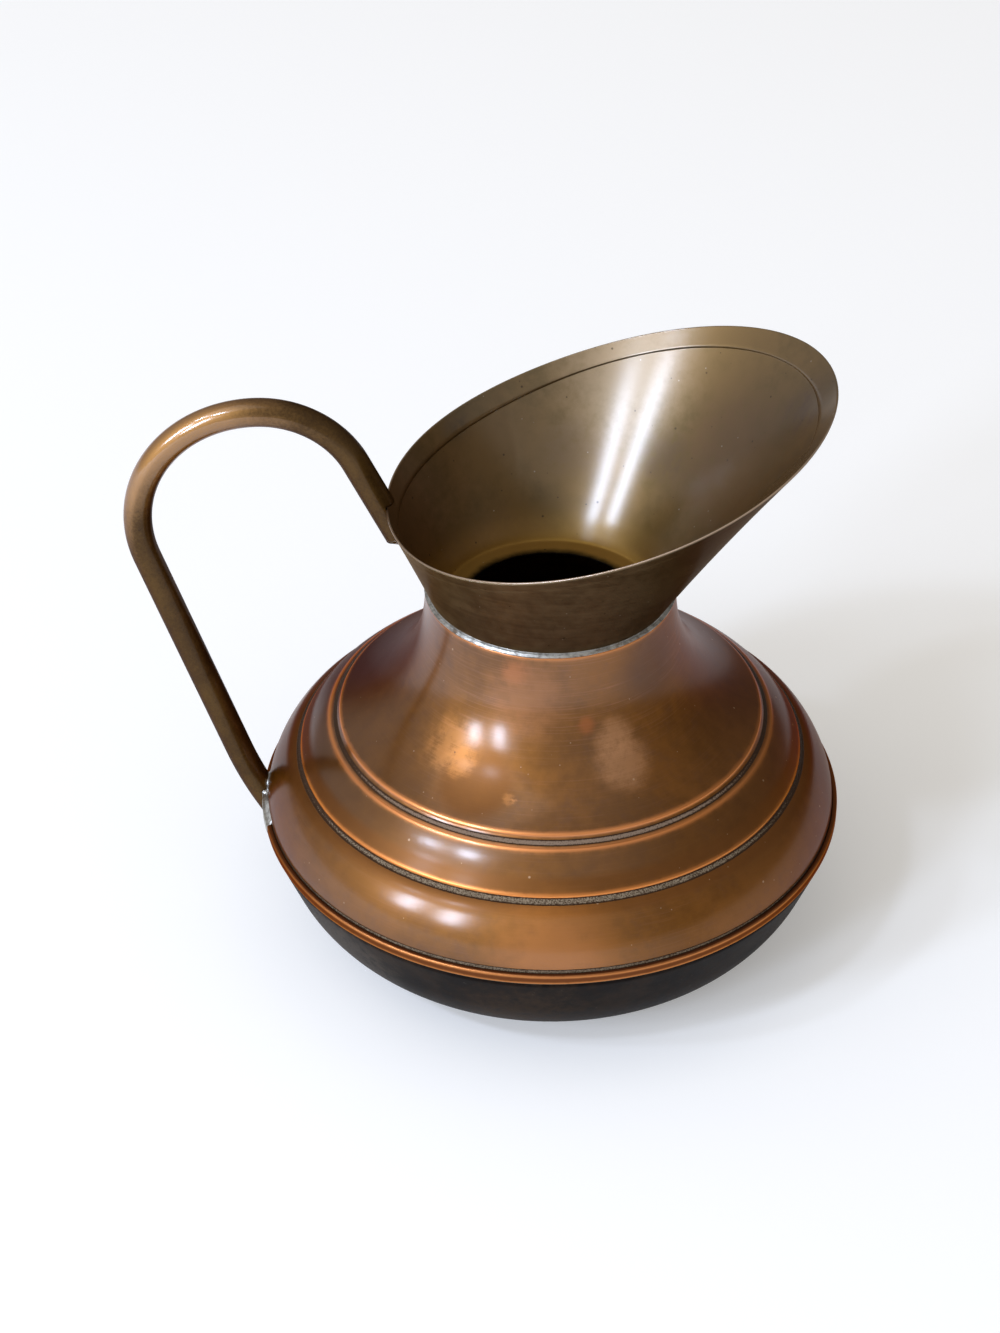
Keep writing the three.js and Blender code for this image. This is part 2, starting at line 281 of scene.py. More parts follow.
def mesh_of(name: str, patches: Sequence[Patch]) -> bpy.types.Mesh:
    """Makes one mesh of closed patches, where a corner that a cell repeats is left out.

    Args:
        name: The mesh's name.
        patches: Closed grids in millimetres.

    Returns:
        The mesh in metres, with every mark as an attribute of its points.
    """
    place, cell = gathered(patches)
    fresh = cell != np.roll(cell, 1, axis=1)
    used, packed = np.unique(cell[fresh], return_inverse=True)
    size = fresh.sum(axis=1)
    mesh = bpy.data.meshes.new(name)
    mesh.vertices.add(used.size)
    mesh.vertices.foreach_set("co", (place[used] * MM).astype(np.float32).ravel())
    mesh.loops.add(packed.size)
    mesh.loops.foreach_set("vertex_index", packed.astype(np.int32).ravel())
    mesh.polygons.add(size.size)
    mesh.polygons.foreach_set("loop_start", summed(size)[:-1].astype(np.int32))
    mesh.update(calc_edges=True)
    mesh.validate()
    mesh.shade_smooth()
    for mark in patches[0].marks:
        values = np.concatenate([patch.marks[mark].ravel() for patch in patches])
        attribute = mesh.attributes.new(mark, "FLOAT", "POINT")
        attribute.data.foreach_set("value", values[used].astype(np.float32))
    return mesh


def around(count: int) -> Array:
    """Directions in radians, evenly spaced once round a ring."""
    return np.arange(count) * (2 * math.pi / count)


def ringed(reach: Array, angle: Array, height: Array) -> Array:
    """Points about the axis: reach times cosine and sine of the angle, and the height."""
    parts = np.broadcast_arrays(reach * np.cos(angle), reach * np.sin(angle), height)
    return np.stack(parts, axis=-1)


def revolved(line: Array, steps: int) -> Array:
    """A line of radius and height carried round the axis in even steps, a row for each point."""
    return ringed(line[:, :1], around(steps), line[:, 1:2])


def spread(steps: int, **marks: Array) -> dict[str, Array]:
    """Marks with a value for each row, repeated over the columns."""
    return {mark: np.repeat(values[:, None], steps, axis=1) for mark, values in marks.items()}


def from_axis(points: Array) -> Array:
    """Distance of each point from the vertical axis."""
    return np.hypot(points[..., 0], points[..., 1])


def put_in_scene(name: str, data: bpy.types.ID) -> bpy.types.Object:
    """A new object in the scene that shows the data.

    Args:
        name: The object's name.
        data: Its mesh, lamp or camera.

    Returns:
        The object.
    """
    thing = bpy.data.objects.new(name, data)
    bpy.context.scene.collection.objects.link(thing)
    return thing


# Shader graphs

class Wire:
    """A value in a node graph. Python's operators on it add Math nodes."""

    def __init__(self, graph: "Graph", socket: bpy.types.NodeSocket) -> None:
        """Keeps the graph and the output socket."""
        self.graph = graph
        self.socket = socket

    def beside(self, name: str) -> "Wire":
        """Another output of the same node."""
        return Wire(self.graph, self.socket.node.outputs[name])

    def __add__(self, other: "Wire | float") -> "Wire":
        """This plus other."""
        return self.graph.maths("ADD", self, other)

    def __radd__(self, other: float) -> "Wire":
        """Other plus this."""
        return self.graph.maths("ADD", other, self)

    def __sub__(self, other: "Wire | float") -> "Wire":
        """This less other."""
        return self.graph.maths("SUBTRACT", self, other)

    def __rsub__(self, other: float) -> "Wire":
        """Other less this."""
        return self.graph.maths("SUBTRACT", other, self)

    def __mul__(self, other: "Wire | float") -> "Wire":
        """This times other."""
        return self.graph.maths("MULTIPLY", self, other)

    def __rmul__(self, other: float) -> "Wire":
        """Other times this."""
        return self.graph.maths("MULTIPLY", other, self)


class Graph:
    """A node tree and the ways to add to it."""

    def __init__(self, tree: bpy.types.NodeTree) -> None:
        """Empties the tree."""
        self.tree = tree
        tree.nodes.clear()

    def add(
        self,
        kind: str,
        settings: Mapping[str, object] | None = None,
        inputs: Mapping[str | int, object] | None = None,
        output: str | int = 0,
    ) -> Wire:
        """Adds a node.

        Args:
            kind: The node's type.
            settings: What is set on the node itself, before its sockets.
            inputs: Value or wire for each input socket, by name or number.
            output: Name or number of the output that is wanted.

        Returns:
            That output.
        """
        node = self.tree.nodes.new(kind)
        for key, value in (settings or {}).items():
            setattr(node, key, value)
        for key, value in (inputs or {}).items():
            if isinstance(value, Wire):
                self.tree.links.new(value.socket, node.inputs[key])
            else:
                node.inputs[key].default_value = value
        return Wire(self, node.outputs[output]) if len(node.outputs) else Wire(self, None)

    def maths(self, operation: str, *values: "Wire | float") -> Wire:
        """A Math node on one to three values."""
        return self.add("ShaderNodeMath", {"operation": operation}, dict(enumerate(values)))

    def most(self, first: Wire, *others: Wire) -> Wire:
        """The greatest of several values.

        Args:
            first: A value.
            *others: The others.

        Returns:
            The greatest.
        """
        for other in others:
            first = self.maths("MAXIMUM", first, other)
        return first

    def blend(self, first: Wire, second: Wire, share: float) -> Wire:
        """A share of the first value plus the rest of the second."""
        return first * share + second * (1 - share)

    def vector(self, operation: str, *values: "Wire | Place", output: str = "Value") -> Wire:
        """A Vector Math node on one or two vectors."""
        settings = {"operation": operation}
        return self.add("ShaderNodeVectorMath", settings, dict(enumerate(values)), output)

    def place(self) -> Wire:
        """The point's place on the object in millimetres."""
        here = self.add("ShaderNodeTexCoord", output="Object")
        return self.add("ShaderNodeVectorMath", {"operation": "SCALE"}, {0: here, "Scale": 1 / MM})

    def stretched(self, vector: Wire, factors: Place) -> Wire:
        """A vector with each of its parts multiplied."""
        return self.vector("MULTIPLY", vector, factors, output="Vector")

    def part(self, vector: Wire, number: int) -> Wire:
        """One of the three parts of a vector."""
        return self.add("ShaderNodeSeparateXYZ", {}, {0: vector}, number)

    def mark(self, name: str) -> Wire:
        """What the mesh says under that name at each of its points."""
        settings = {"attribute_type": "GEOMETRY", "attribute_name": name}
        return self.add("ShaderNodeAttribute", settings, output="Fac")

    def noise(self, vector: Wire, size: float, detail: float, rough: float) -> Wire:
        """Cloudy noise about one half, with lumps of that size."""
        inputs = {"Vector": vector, "Scale": 1.0 / size, "Detail": detail, "Roughness": rough}
        return self.add("ShaderNodeTexNoise", {"noise_dimensions": "3D"}, inputs)

    def dots(self, vector: Wire, size: float, radius: float, share: float) -> Wire:
        """Small round dots, one for a share of the cells of that size.

        Args:
            vector: Where on the object.
            size: Size of the cells in millimetres.
            radius: Radius of the dots in cells.
            share: How many of the cells have a dot.

        Returns:
            One inside a dot and zero outside.
        """
        inputs = {"Vector": vector, "Scale": 1.0 / size}
        distance = self.add("ShaderNodeTexVoronoi", {"feature": "F1"}, inputs, "Distance")
        drawn = self.add("ShaderNodeSeparateColor", {}, {0: distance.beside("Color")}, 0)
        chosen = self.smooth(drawn, 1 - share, 1 - share + 0.02)
        return (1 - self.smooth(distance, radius * 0.5, radius)) * chosen

    def smooth(self, value: Wire, low: float, high: float) -> Wire:
        """Zero up to low, one from high on, and an easy slope between them."""
        inputs = {"Value": value, "From Min": low, "From Max": high, "To Min": 0.0, "To Max": 1.0}
        return self.add("ShaderNodeMapRange", {"interpolation_type": "SMOOTHSTEP"}, inputs)

    def belt(self, value: Wire, rise: Slope, fall: Slope) -> Wire:
        """One between a slope up and a slope down, and zero outside them."""
        return self.smooth(value, *rise) * (1 - self.smooth(value, *fall))

    def spot(self, vector: Wire, centre: Place, radius: float) -> Wire:
        """One at a place on the object, falling to zero at a radius round it."""
        return 1 - self.smooth(self.vector("DISTANCE", vector, centre), 0.0, radius)

    def mix(self, factor: "Wire | float", first: "Wire | Colour", second: "Wire | Colour") -> Wire:
        """A colour between two: the first where the factor is zero, the second where it is one.

        Args:
            factor: How much of the second.
            first: A colour.
            second: Another colour.

        Returns:
            The mixed colour.
        """
        colours = [value if isinstance(value, Wire) else (*value, 1.0) for value in (first, second)]
        settings = {"data_type": "RGBA", "clamp_factor": True}
        return self.add("ShaderNodeMix", settings, {0: factor, 6: colours[0], 7: colours[1]}, 2)

    def round_axis(self, vector: Wire, run: Wire, along: float, across: float) -> Wire:
        """Place for marks that run round the axis: long that way and fine along the profile."""
        level = [self.part(vector, number) * (1 / along) for number in (0, 1)]
        return self.add("ShaderNodeCombineXYZ", {}, dict(enumerate([*level, run * (1 / across)])))

    def bump(self, height: Wire, depth: float, under: Wire | None = None) -> Wire:
        """A normal for a height from zero to one that stands depth millimetres tall.

        Args:
            height: The height.
            depth: How tall it stands.
            under: The normal that it is laid over, if any.

        Returns:
            The normal.
        """
        inputs: dict[str | int, object] = {"Height": height, "Distance": depth * MM, "Strength": 1.0}
        if under is not None:
            inputs["Normal"] = under
        return self.add("ShaderNodeBump", {}, inputs)


def new_material(name: str) -> tuple[bpy.types.Material, Graph]:
    """An empty material, and the graph that fills it.

    Args:
        name: The material's name.

    Returns:
        The material and its graph.
    """
    material = bpy.data.materials.new(name)
    material.use_nodes = True
    return material, Graph(material.node_tree)


@dataclass
class Look:
    """What a finish's graph gives the shader, with what is the same all over."""

    colour: Wire
    roughness: Wire
    normal: Wire
    metallic: "Wire | float" = 1.0
    coat: "Wire | float" = 0.0
    coat_roughness: float = 0.2
    coat_index: float = 1.5
    edge: Colour = (1.0, 1.0, 1.0)
    specular: float = 0.5


@dataclass(frozen=True)
class Finish:
    """What all finishes share: a name and how their material is made."""

    name: str

    def paint(self, graph: Graph) -> Look:
        """Draws the finish's own nodes."""
        raise NotImplementedError

    def material(self) -> bpy.types.Material:
        """Makes the material of this finish.

        Returns:
            The material, whose looks vary only through the sockets that an export keeps.
        """
        material, graph = new_material(self.name)
        look = self.paint(graph)
        inputs = {
            "Base Color": look.colour,
            "Roughness": look.roughness,
            "Metallic": look.metallic,
            "Normal": look.normal,
            "Coat Weight": look.coat,
            "Coat Roughness": look.coat_roughness,
            "Coat IOR": look.coat_index,
            "Specular Tint": (*look.edge, 1.0),
            "Specular IOR Level": look.specular,
        }
        shader = graph.add("ShaderNodeBsdfPrincipled", {}, inputs)
        graph.add("ShaderNodeOutputMaterial", {}, {"Surface": shader})
        return material


@dataclass(frozen=True)
class Blotch:
    """A patch of colour with a ragged edge at a place on the object: some are stains and worn places,
    others painted light and shade.
    """

    centre: Place
    radius: float
    colour: Colour
    strength: float
    ragged: float = 0.5

    def over(self, graph: Graph, place: Wire, noise: Wire, colour: Wire) -> Wire:
        """The colour with this blotch mixed over it.

        Args:
            graph: The material's node graph.
            place: Where on the object.
            noise: Noise that frays its edge.
            colour: What it covers.

        Returns:
            The new colour.
        """
        near = graph.spot(place, self.centre, self.radius)
        edge = graph.smooth(near + near * self.ragged * 4.0 * (noise - 0.5), 0.05, 0.95)
        return graph.mix(edge * self.strength, colour, self.colour)


GOLDEN = (0.66, 0.275, 0.075)
RED_ORANGE = (0.40, 0.115, 0.020)
PEACH = (0.62, 0.31, 0.14)
PURPLE = (0.110, 0.046, 0.046)
BROWN_BLACK = (0.068, 0.031, 0.022)
REFLECTED_HAZE = (0.44, 0.19, 0.085)
WARM = (0.46, 0.17, 0.035)
FRESH_ORANGE = (0.52, 0.16, 0.035)
COPPER_BLOTCHES = (
    # Painted shade: a dark purple reflection over the upper left of the body.
    Blotch((-58.0, 22.0, 86.0), 44.0, PURPLE, 0.85, 0.25),
    Blotch((-40.0, 2.0, 104.0), 22.0, PURPLE, 0.45, 0.4),
    Blotch((54.0, -4.0, 93.0), 40.0, BROWN_BLACK, 0.22, 0.3),
    Blotch((31.0, -27.0, 116.0), 24.0, BROWN_BLACK, 0.60, 0.3),
    Blotch((0.0, -98.0, 53.0), 34.0, WARM, 0.75, 0.3),
    # Worn golden copper, partly a painted halo round the lamps' highlight.
    Blotch((-31.5, -42.0, 94.5), 16.0, GOLDEN, 0.32, 1.2),
    Blotch((-29.5, -46.0, 92.0), 9.5, GOLDEN, 0.34, 1.2),
    Blotch((-11.8, -59.4, 85.9), 1.8, GOLDEN, 0.9, 1.6),
    Blotch((-13.5, -58.6, 86.1), 3.4, GOLDEN, 0.35, 2.0),
    Blotch((11.0, -44.0, 103.6), 5.0, RED_ORANGE, 0.7, 0.6),
    Blotch((20.0, -43.5, 98.5), 11.0, PEACH, 0.55, 0.8),
    Blotch((22.5, -48.5, 93.0), 15.0, PEACH, 0.60, 0.8),
    Blotch((-11.5, -39.3, 121.0), 8.0, FRESH_ORANGE, 0.5, 0.9),
    # Painted reflection: a pink haze below the neck.
    Blotch((-8.0, -41.5, 111.5), 22.0, REFLECTED_HAZE, 0.36, 0.5),
)


@dataclass
class Ground:
    """What the layers of the copper are drawn from: noises, places, worn regions and the painted shade on
    the right.
    """

    place: Wire
    cloud: Wire
    mottle: Wire
    lines: Wire
    grain: Wire
    across: Wire
    height: Wire
    rightward: Wire
    right_shade: Wire
    crown: Wire
    worn_through: Wire


@dataclass(frozen=True)
class PolishedCopper(Finish):
    """Copper under a glassy brown patina, rubbed bright on its lips (partly a painted highlight), less
    glassy and in painted shade on its right side.
    """

    brown: Colour = (0.178, 0.064, 0.003)
    orange: Colour = (0.262, 0.097, 0.009)
    dark: Colour = (0.145, 0.063, 0.030)
    pink_marks_and_sheen: Colour = (0.42, 0.18, 0.09)
    bright: Colour = (0.85, 0.31, 0.085)
    residue: Colour = (0.28, 0.225, 0.155)
    glossy_residue: Colour = (0.24, 0.175, 0.125)
    soil: Colour = (0.035, 0.018, 0.009)
    speck: Colour = (0.75, 0.55, 0.36)
    edge: Colour = (0.32, 0.16, 0.10)
    shadow: Colour = (0.112, 0.044, 0.010)
    matt: Colour = (0.205, 0.088, 0.034)
    clouds: Lumps = (38.0, 2.0, 0.45)
    mottles: Lumps = (5.0, 6.0, 0.62)
    stains: Lumps = (8.0, 6.0, 0.7)
    grains: Lumps = (0.45, 3.0, 0.7)
    line_size: Flat = (22.0, 0.5)
    line_noise: Lumps = (1.0, 4.0, 0.65)
    freckles: Dots = (3.0, 0.15, 0.4)
    large_flecks: Dots = (7.0, 0.07, 0.45)
    small_flecks: Dots = (3.1, 0.08, 0.2)
    right_shade_across: Slope = (22.0, 90.0)
    side_shade_across: Slope = (0.0, 75.0)
    dulled_across: Slope = (6.0, 44.0)
    left_edge_across: Slope = (-100.0, -66.0)
    shoulder_sheen_z: Slope = (92.0, 112.0)
    above_torus_z: Slope = (60.0, 72.0)
    upper_groove_z: Slope = (72.0, 74.0)
    band_z: tuple[Slope, Slope] = ((66.0, 69.0), (75.0, 78.0))
    crown_z: tuple[Slope, Slope] = ((61.5, 63.5), (70.2, 72.6))
    glow_at: Place = (-30.5, -45.0, 93.0)
    glow_reach: float = 17.0
    rubbed_at: Place = (-24.0, -52.5, 88.0)
    rubbed_reach: float = 21.0
    dull_at: Place = (-52.0, 26.0, 98.0)
    dull_reach: float = 60.0
    blotches: tuple[Blotch, ...] = COPPER_BLOTCHES

    def ground(self, graph: Graph) -> Ground:
        """The noises, places and regions that the layers share.

        Args:
            graph: The material's node graph.

        Returns:
            The wires that they share.
        """
        place = graph.place()
        cloud, mottle = graph.noise(place, *self.clouds), graph.noise(place, *self.mottles)
        across, height = graph.part(place, 0), graph.part(place, 2)
        rightward = across + 30.0 * (cloud - 0.5) + 14.0 * (mottle - 0.5)
        round_axis = graph.round_axis(place, graph.mark("run"), *self.line_size)
        return Ground(
            place=place,
            cloud=cloud,
            mottle=mottle,
            lines=graph.noise(round_axis, *self.line_noise),
            grain=graph.noise(place, *self.grains),
            across=across,
            height=height,
            rightward=rightward,
            right_shade=graph.smooth(rightward, *self.right_shade_across),
            crown=graph.belt(height, *self.crown_z),
            worn_through=graph.smooth(graph.spot(place, self.rubbed_at, self.rubbed_reach), 0.1, 0.6),
        )

    def patina(self, graph: Graph, ground: Ground) -> Wire:
        """Brown and orange clouds with stains, polishing marks, a painted pink reflection and painted
        shade.

        Args:
            graph: The material's node graph.
            ground: What the layers are drawn from.

        Returns:
            The colour of the patina.
        """
        height, right_shade = ground.height, ground.right_shade
        tone = graph.smooth(graph.blend(ground.cloud, ground.mottle, 0.58), 0.37, 0.63)
        colour = graph.mix(tone, self.brown, self.orange)
        stain = graph.smooth(graph.noise(ground.place, *self.stains), 0.50, 0.75)
        colour = graph.mix(stain * 0.38, colour, self.dark)
        # Polishing marks round the axis; their pink grows on the shoulder as a painted reflection and fades
        # in the painted right shade.
        shoulder = graph.smooth(height, *self.shoulder_sheen_z)
        streaks = graph.smooth(ground.lines, 0.48, 0.75) * (0.16 + 0.3 * shoulder) * (1 - 0.75 * right_shade)
        colour = graph.mix(streaks, colour, self.pink_marks_and_sheen)
        # Painted shade: the right side turns darker.
        colour = graph.mix(right_shade * 0.4, colour, self.dark)
        # Painted shade: the left side darker in the shadow colour, more so above the torus, and the band
        # darker too.
        side_shade = graph.smooth(-1.0 * ground.rightward, *self.side_shade_across)
        above_torus = graph.smooth(height, *self.above_torus_z)
        colour = graph.mix(side_shade * (0.35 + 0.35 * above_torus), colour, self.shadow)
        return graph.mix(graph.belt(height, *self.band_z) * 0.35, colour, self.shadow)

    def worn(self, graph: Graph, ground: Ground, colour: Wire) -> Wire:
        """The colour with its matt places, its blotches (some of them painted light and shade) and the
        freckles of the golden one.

        Args:
            graph: The material's node graph.
            ground: What the layers are drawn from.
            colour: The patina.

        Returns:
            The worn colour.
        """
        colour = graph.mix(graph.most(ground.crown, ground.worn_through) * 0.55, colour, self.matt)
        ragged = ground.mottle * 0.6 + ground.lines * 0.25 + ground.grain * 0.15
        for blotch in self.blotches:
            colour = blotch.over(graph, ground.place, ragged, colour)
        glow = graph.spot(ground.place, self.glow_at, self.glow_reach)
        return graph.mix(graph.dots(ground.place, *self.freckles) * glow * 0.9, colour, self.dark)

    def crust(self, graph: Graph, ground: Ground) -> tuple[Wire, Wire, Wire]:
        """Where dirt fills the grooves, its colour, and where it is the upper groove's.

        Args:
            graph: The material's node graph.
            ground: What the layers are drawn from.

        Returns:
            How much dirt, its colour, and one at the upper groove.
        """
        grime, grain = graph.mark("grime"), ground.grain
        dirt = graph.smooth(grime * (0.75 + 0.5 * grain), 0.30, 0.42)
        core = graph.smooth(grime * (0.6 + 0.8 * grain), 0.60, 0.80)
        upper = graph.smooth(ground.height, *self.upper_groove_z)
        dry = graph.mix(upper, self.residue, self.glossy_residue)
        grains = graph.mix(graph.smooth(grain + 0.12 * upper, 0.33, 0.63), self.soil, dry)
        return dirt, graph.mix(core, self.soil, grains), upper

    def gloss(self, graph: Graph, ground: Ground, dirt: Wire) -> Wire:
        """How glassy the patina is: less on the right and at the far left, least where worn.

        Args:
            graph: The material's node graph.
            ground: What the layers are drawn from.
            dirt: How much dirt.

        Returns:
            Weight of the coat.
        """
        off_edge = graph.smooth(ground.across, *self.left_edge_across)
        dulled = graph.smooth(ground.rightward, *self.dulled_across)
        hazy = graph.spot(ground.place, self.dull_at, self.dull_reach)
        clear = (1 - dirt) * (1 - 0.62 * dulled) * (0.4 + 0.6 * off_edge)
        coat = clear * (1 - 0.9 * ground.crown) * (1 - 0.85 * ground.worn_through)
        return coat * (1 - 0.85 * graph.smooth(hazy, 0.05, 0.5))

    def paint(self, graph: Graph) -> Look:
        """Clouds of brown and orange, polishing marks round the axis, bright lips that are partly a painted
        highlight, grey grooves.

        Args:
            graph: The material's node graph.

        Returns:
            The look.
        """
        ground = self.ground(graph)
        mottle, lines = ground.mottle, ground.lines
        polish = graph.mark("polish")
        rubbed = polish * graph.smooth(mottle + 0.5 * polish, 0.3, 0.75)
        colour = self.worn(graph, ground, self.patina(graph, ground))
        # Rubbed bright lips, partly a painted highlight along their convex edges, fainter in the painted
        # right shade.
        colour = graph.mix(rubbed * (0.92 - 0.45 * ground.right_shade), colour, self.bright)
        flecks = [graph.dots(ground.place, *size) for size in (self.large_flecks, self.small_flecks)]
        colour = graph.mix(graph.most(*flecks) * 0.4, colour, self.speck)
        dirt, crust, upper = self.crust(graph, ground)
        colour = graph.mix(dirt, colour, crust)
        fine = graph.bump(graph.blend(lines, mottle, 0.6), 0.012)
        return Look(
            colour,
            roughness=0.50 + 0.14 * (mottle - 0.5) + 0.08 * (lines - 0.5) + 0.10 * dirt - 0.14 * rubbed,
            normal=graph.bump(ground.grain * dirt * (1 - 0.7 * upper), 0.30, fine),
            metallic=1 - 0.85 * dirt,
            coat=self.gloss(graph, ground, dirt),
            coat_roughness=0.20,
            coat_index=1.58,
            edge=self.edge,
        )


SOOT_BLOTCHES = (
    # Painted sheen: a lighter grey patch on the front left of the bowl.
    Blotch((-62.0, -55.0, 24.0), 40.0, (0.075, 0.060, 0.048), 0.6, 0.9),
    Blotch((-10.0, -80.0, 26.0), 34.0, (0.040, 0.024, 0.014), 0.6, 0.8),
)


@dataclass(frozen=True)
class SootedCopper(Finish):
    """Copper blackened by the fire, with rubbed lips round its folded edge."""

    soot: Colour = (0.004, 0.003, 0.003)
    brown: Colour = (0.019, 0.012, 0.008)
    ash: Colour = (0.13, 0.11, 0.09)
    bright: Colour = (0.85, 0.34, 0.11)
    copper: Colour = (0.17, 0.058, 0.022)
    residue: Colour = (0.26, 0.22, 0.16)
    edge: Colour = (0.5, 0.3, 0.2)
    clouds: Lumps = (16.0, 5.0, 0.6)
    mottles: Lumps = (3.0, 6.0, 0.65)
    flecks: Lumps = (2.2, 6.0, 0.75)
    grains: Lumps = (0.5, 4.0, 0.7)
    front_reach: Slope = (30.0, 86.0)
    blotches: tuple[Blotch, ...] = SOOT_BLOTCHES

    def paint(self, graph: Graph) -> Look:
        """Soot with brown mottles, ashy flecks and a painted sheen, and bare copper where the fold is
        rubbed.

        Args:
            graph: The material's node graph.

        Returns:
            The look.
        """
        place = graph.place()
        polish, grime, bare = graph.mark("polish"), graph.mark("grime"), graph.mark("bare")
        cloud, mottle = graph.noise(place, *self.clouds), graph.noise(place, *self.mottles)
        grain = graph.noise(place, *self.grains)
        colour = graph.mix(graph.smooth(graph.blend(cloud, mottle, 0.6), 0.42, 0.66), self.soot, self.brown)
        for blotch in self.blotches:
            colour = blotch.over(graph, place, mottle, colour)
        flecks = graph.smooth(graph.noise(place, *self.flecks), 0.62, 0.74)
        colour = graph.mix(flecks * 0.4, colour, self.ash)
        fold = graph.smooth(bare + 0.3 * (mottle - 0.5), 0.4, 0.6)
        colour = graph.mix(fold, colour, self.copper)
        front = graph.smooth(60.0 * (cloud - 0.5) - graph.part(place, 1), *self.front_reach)
        rubbed = polish * graph.smooth(mottle + 0.3 * polish, 0.3, 0.7)
        colour = graph.mix(rubbed * (0.22 + 0.36 * front), colour, self.bright)
        dirt = graph.smooth(grime * (0.55 + 0.9 * grain), 0.38, 0.75)
        colour = graph.mix(dirt, colour, self.residue)
        return Look(
            colour,
            roughness=0.55 + 0.2 * (mottle - 0.5) + 0.2 * dirt - 0.2 * rubbed,
            normal=graph.bump(grain * 0.3 + mottle, 0.05),
            metallic=graph.smooth(fold - 0.9 * dirt, 0.2, 0.8),
            edge=self.edge,
            specular=0.07,
        )


SPOUT_BLOTCHES = (
    Blotch((58.0, 18.0, 164.0), 44.0, (0.130, 0.066, 0.022), 0.8, 0.5),
    Blotch((88.0, 6.0, 181.0), 26.0, (0.080, 0.042, 0.030), 0.8, 0.8),
    Blotch((40.0, 40.0, 150.0), 16.0, (0.085, 0.048, 0.022), 0.6, 0.9),
    Blotch((8.0, 48.0, 149.0), 18.0, (0.125, 0.078, 0.042), 0.5, 0.5),
    Blotch((-44.0, 4.0, 150.0), 50.0, (0.215, 0.120, 0.055), 0.85, 0.4),
    # Painted dark reflection on the left of the inside.
    Blotch((-34.0, 48.0, 158.0), 13.0, (0.040, 0.025, 0.010), 0.7, 0.7),
    # Painted soft highlight beside the lamps' streaks.
    Blotch((26.0, 64.0, 170.0), 44.0, (0.29, 0.205, 0.120), 0.7, 0.3),
)


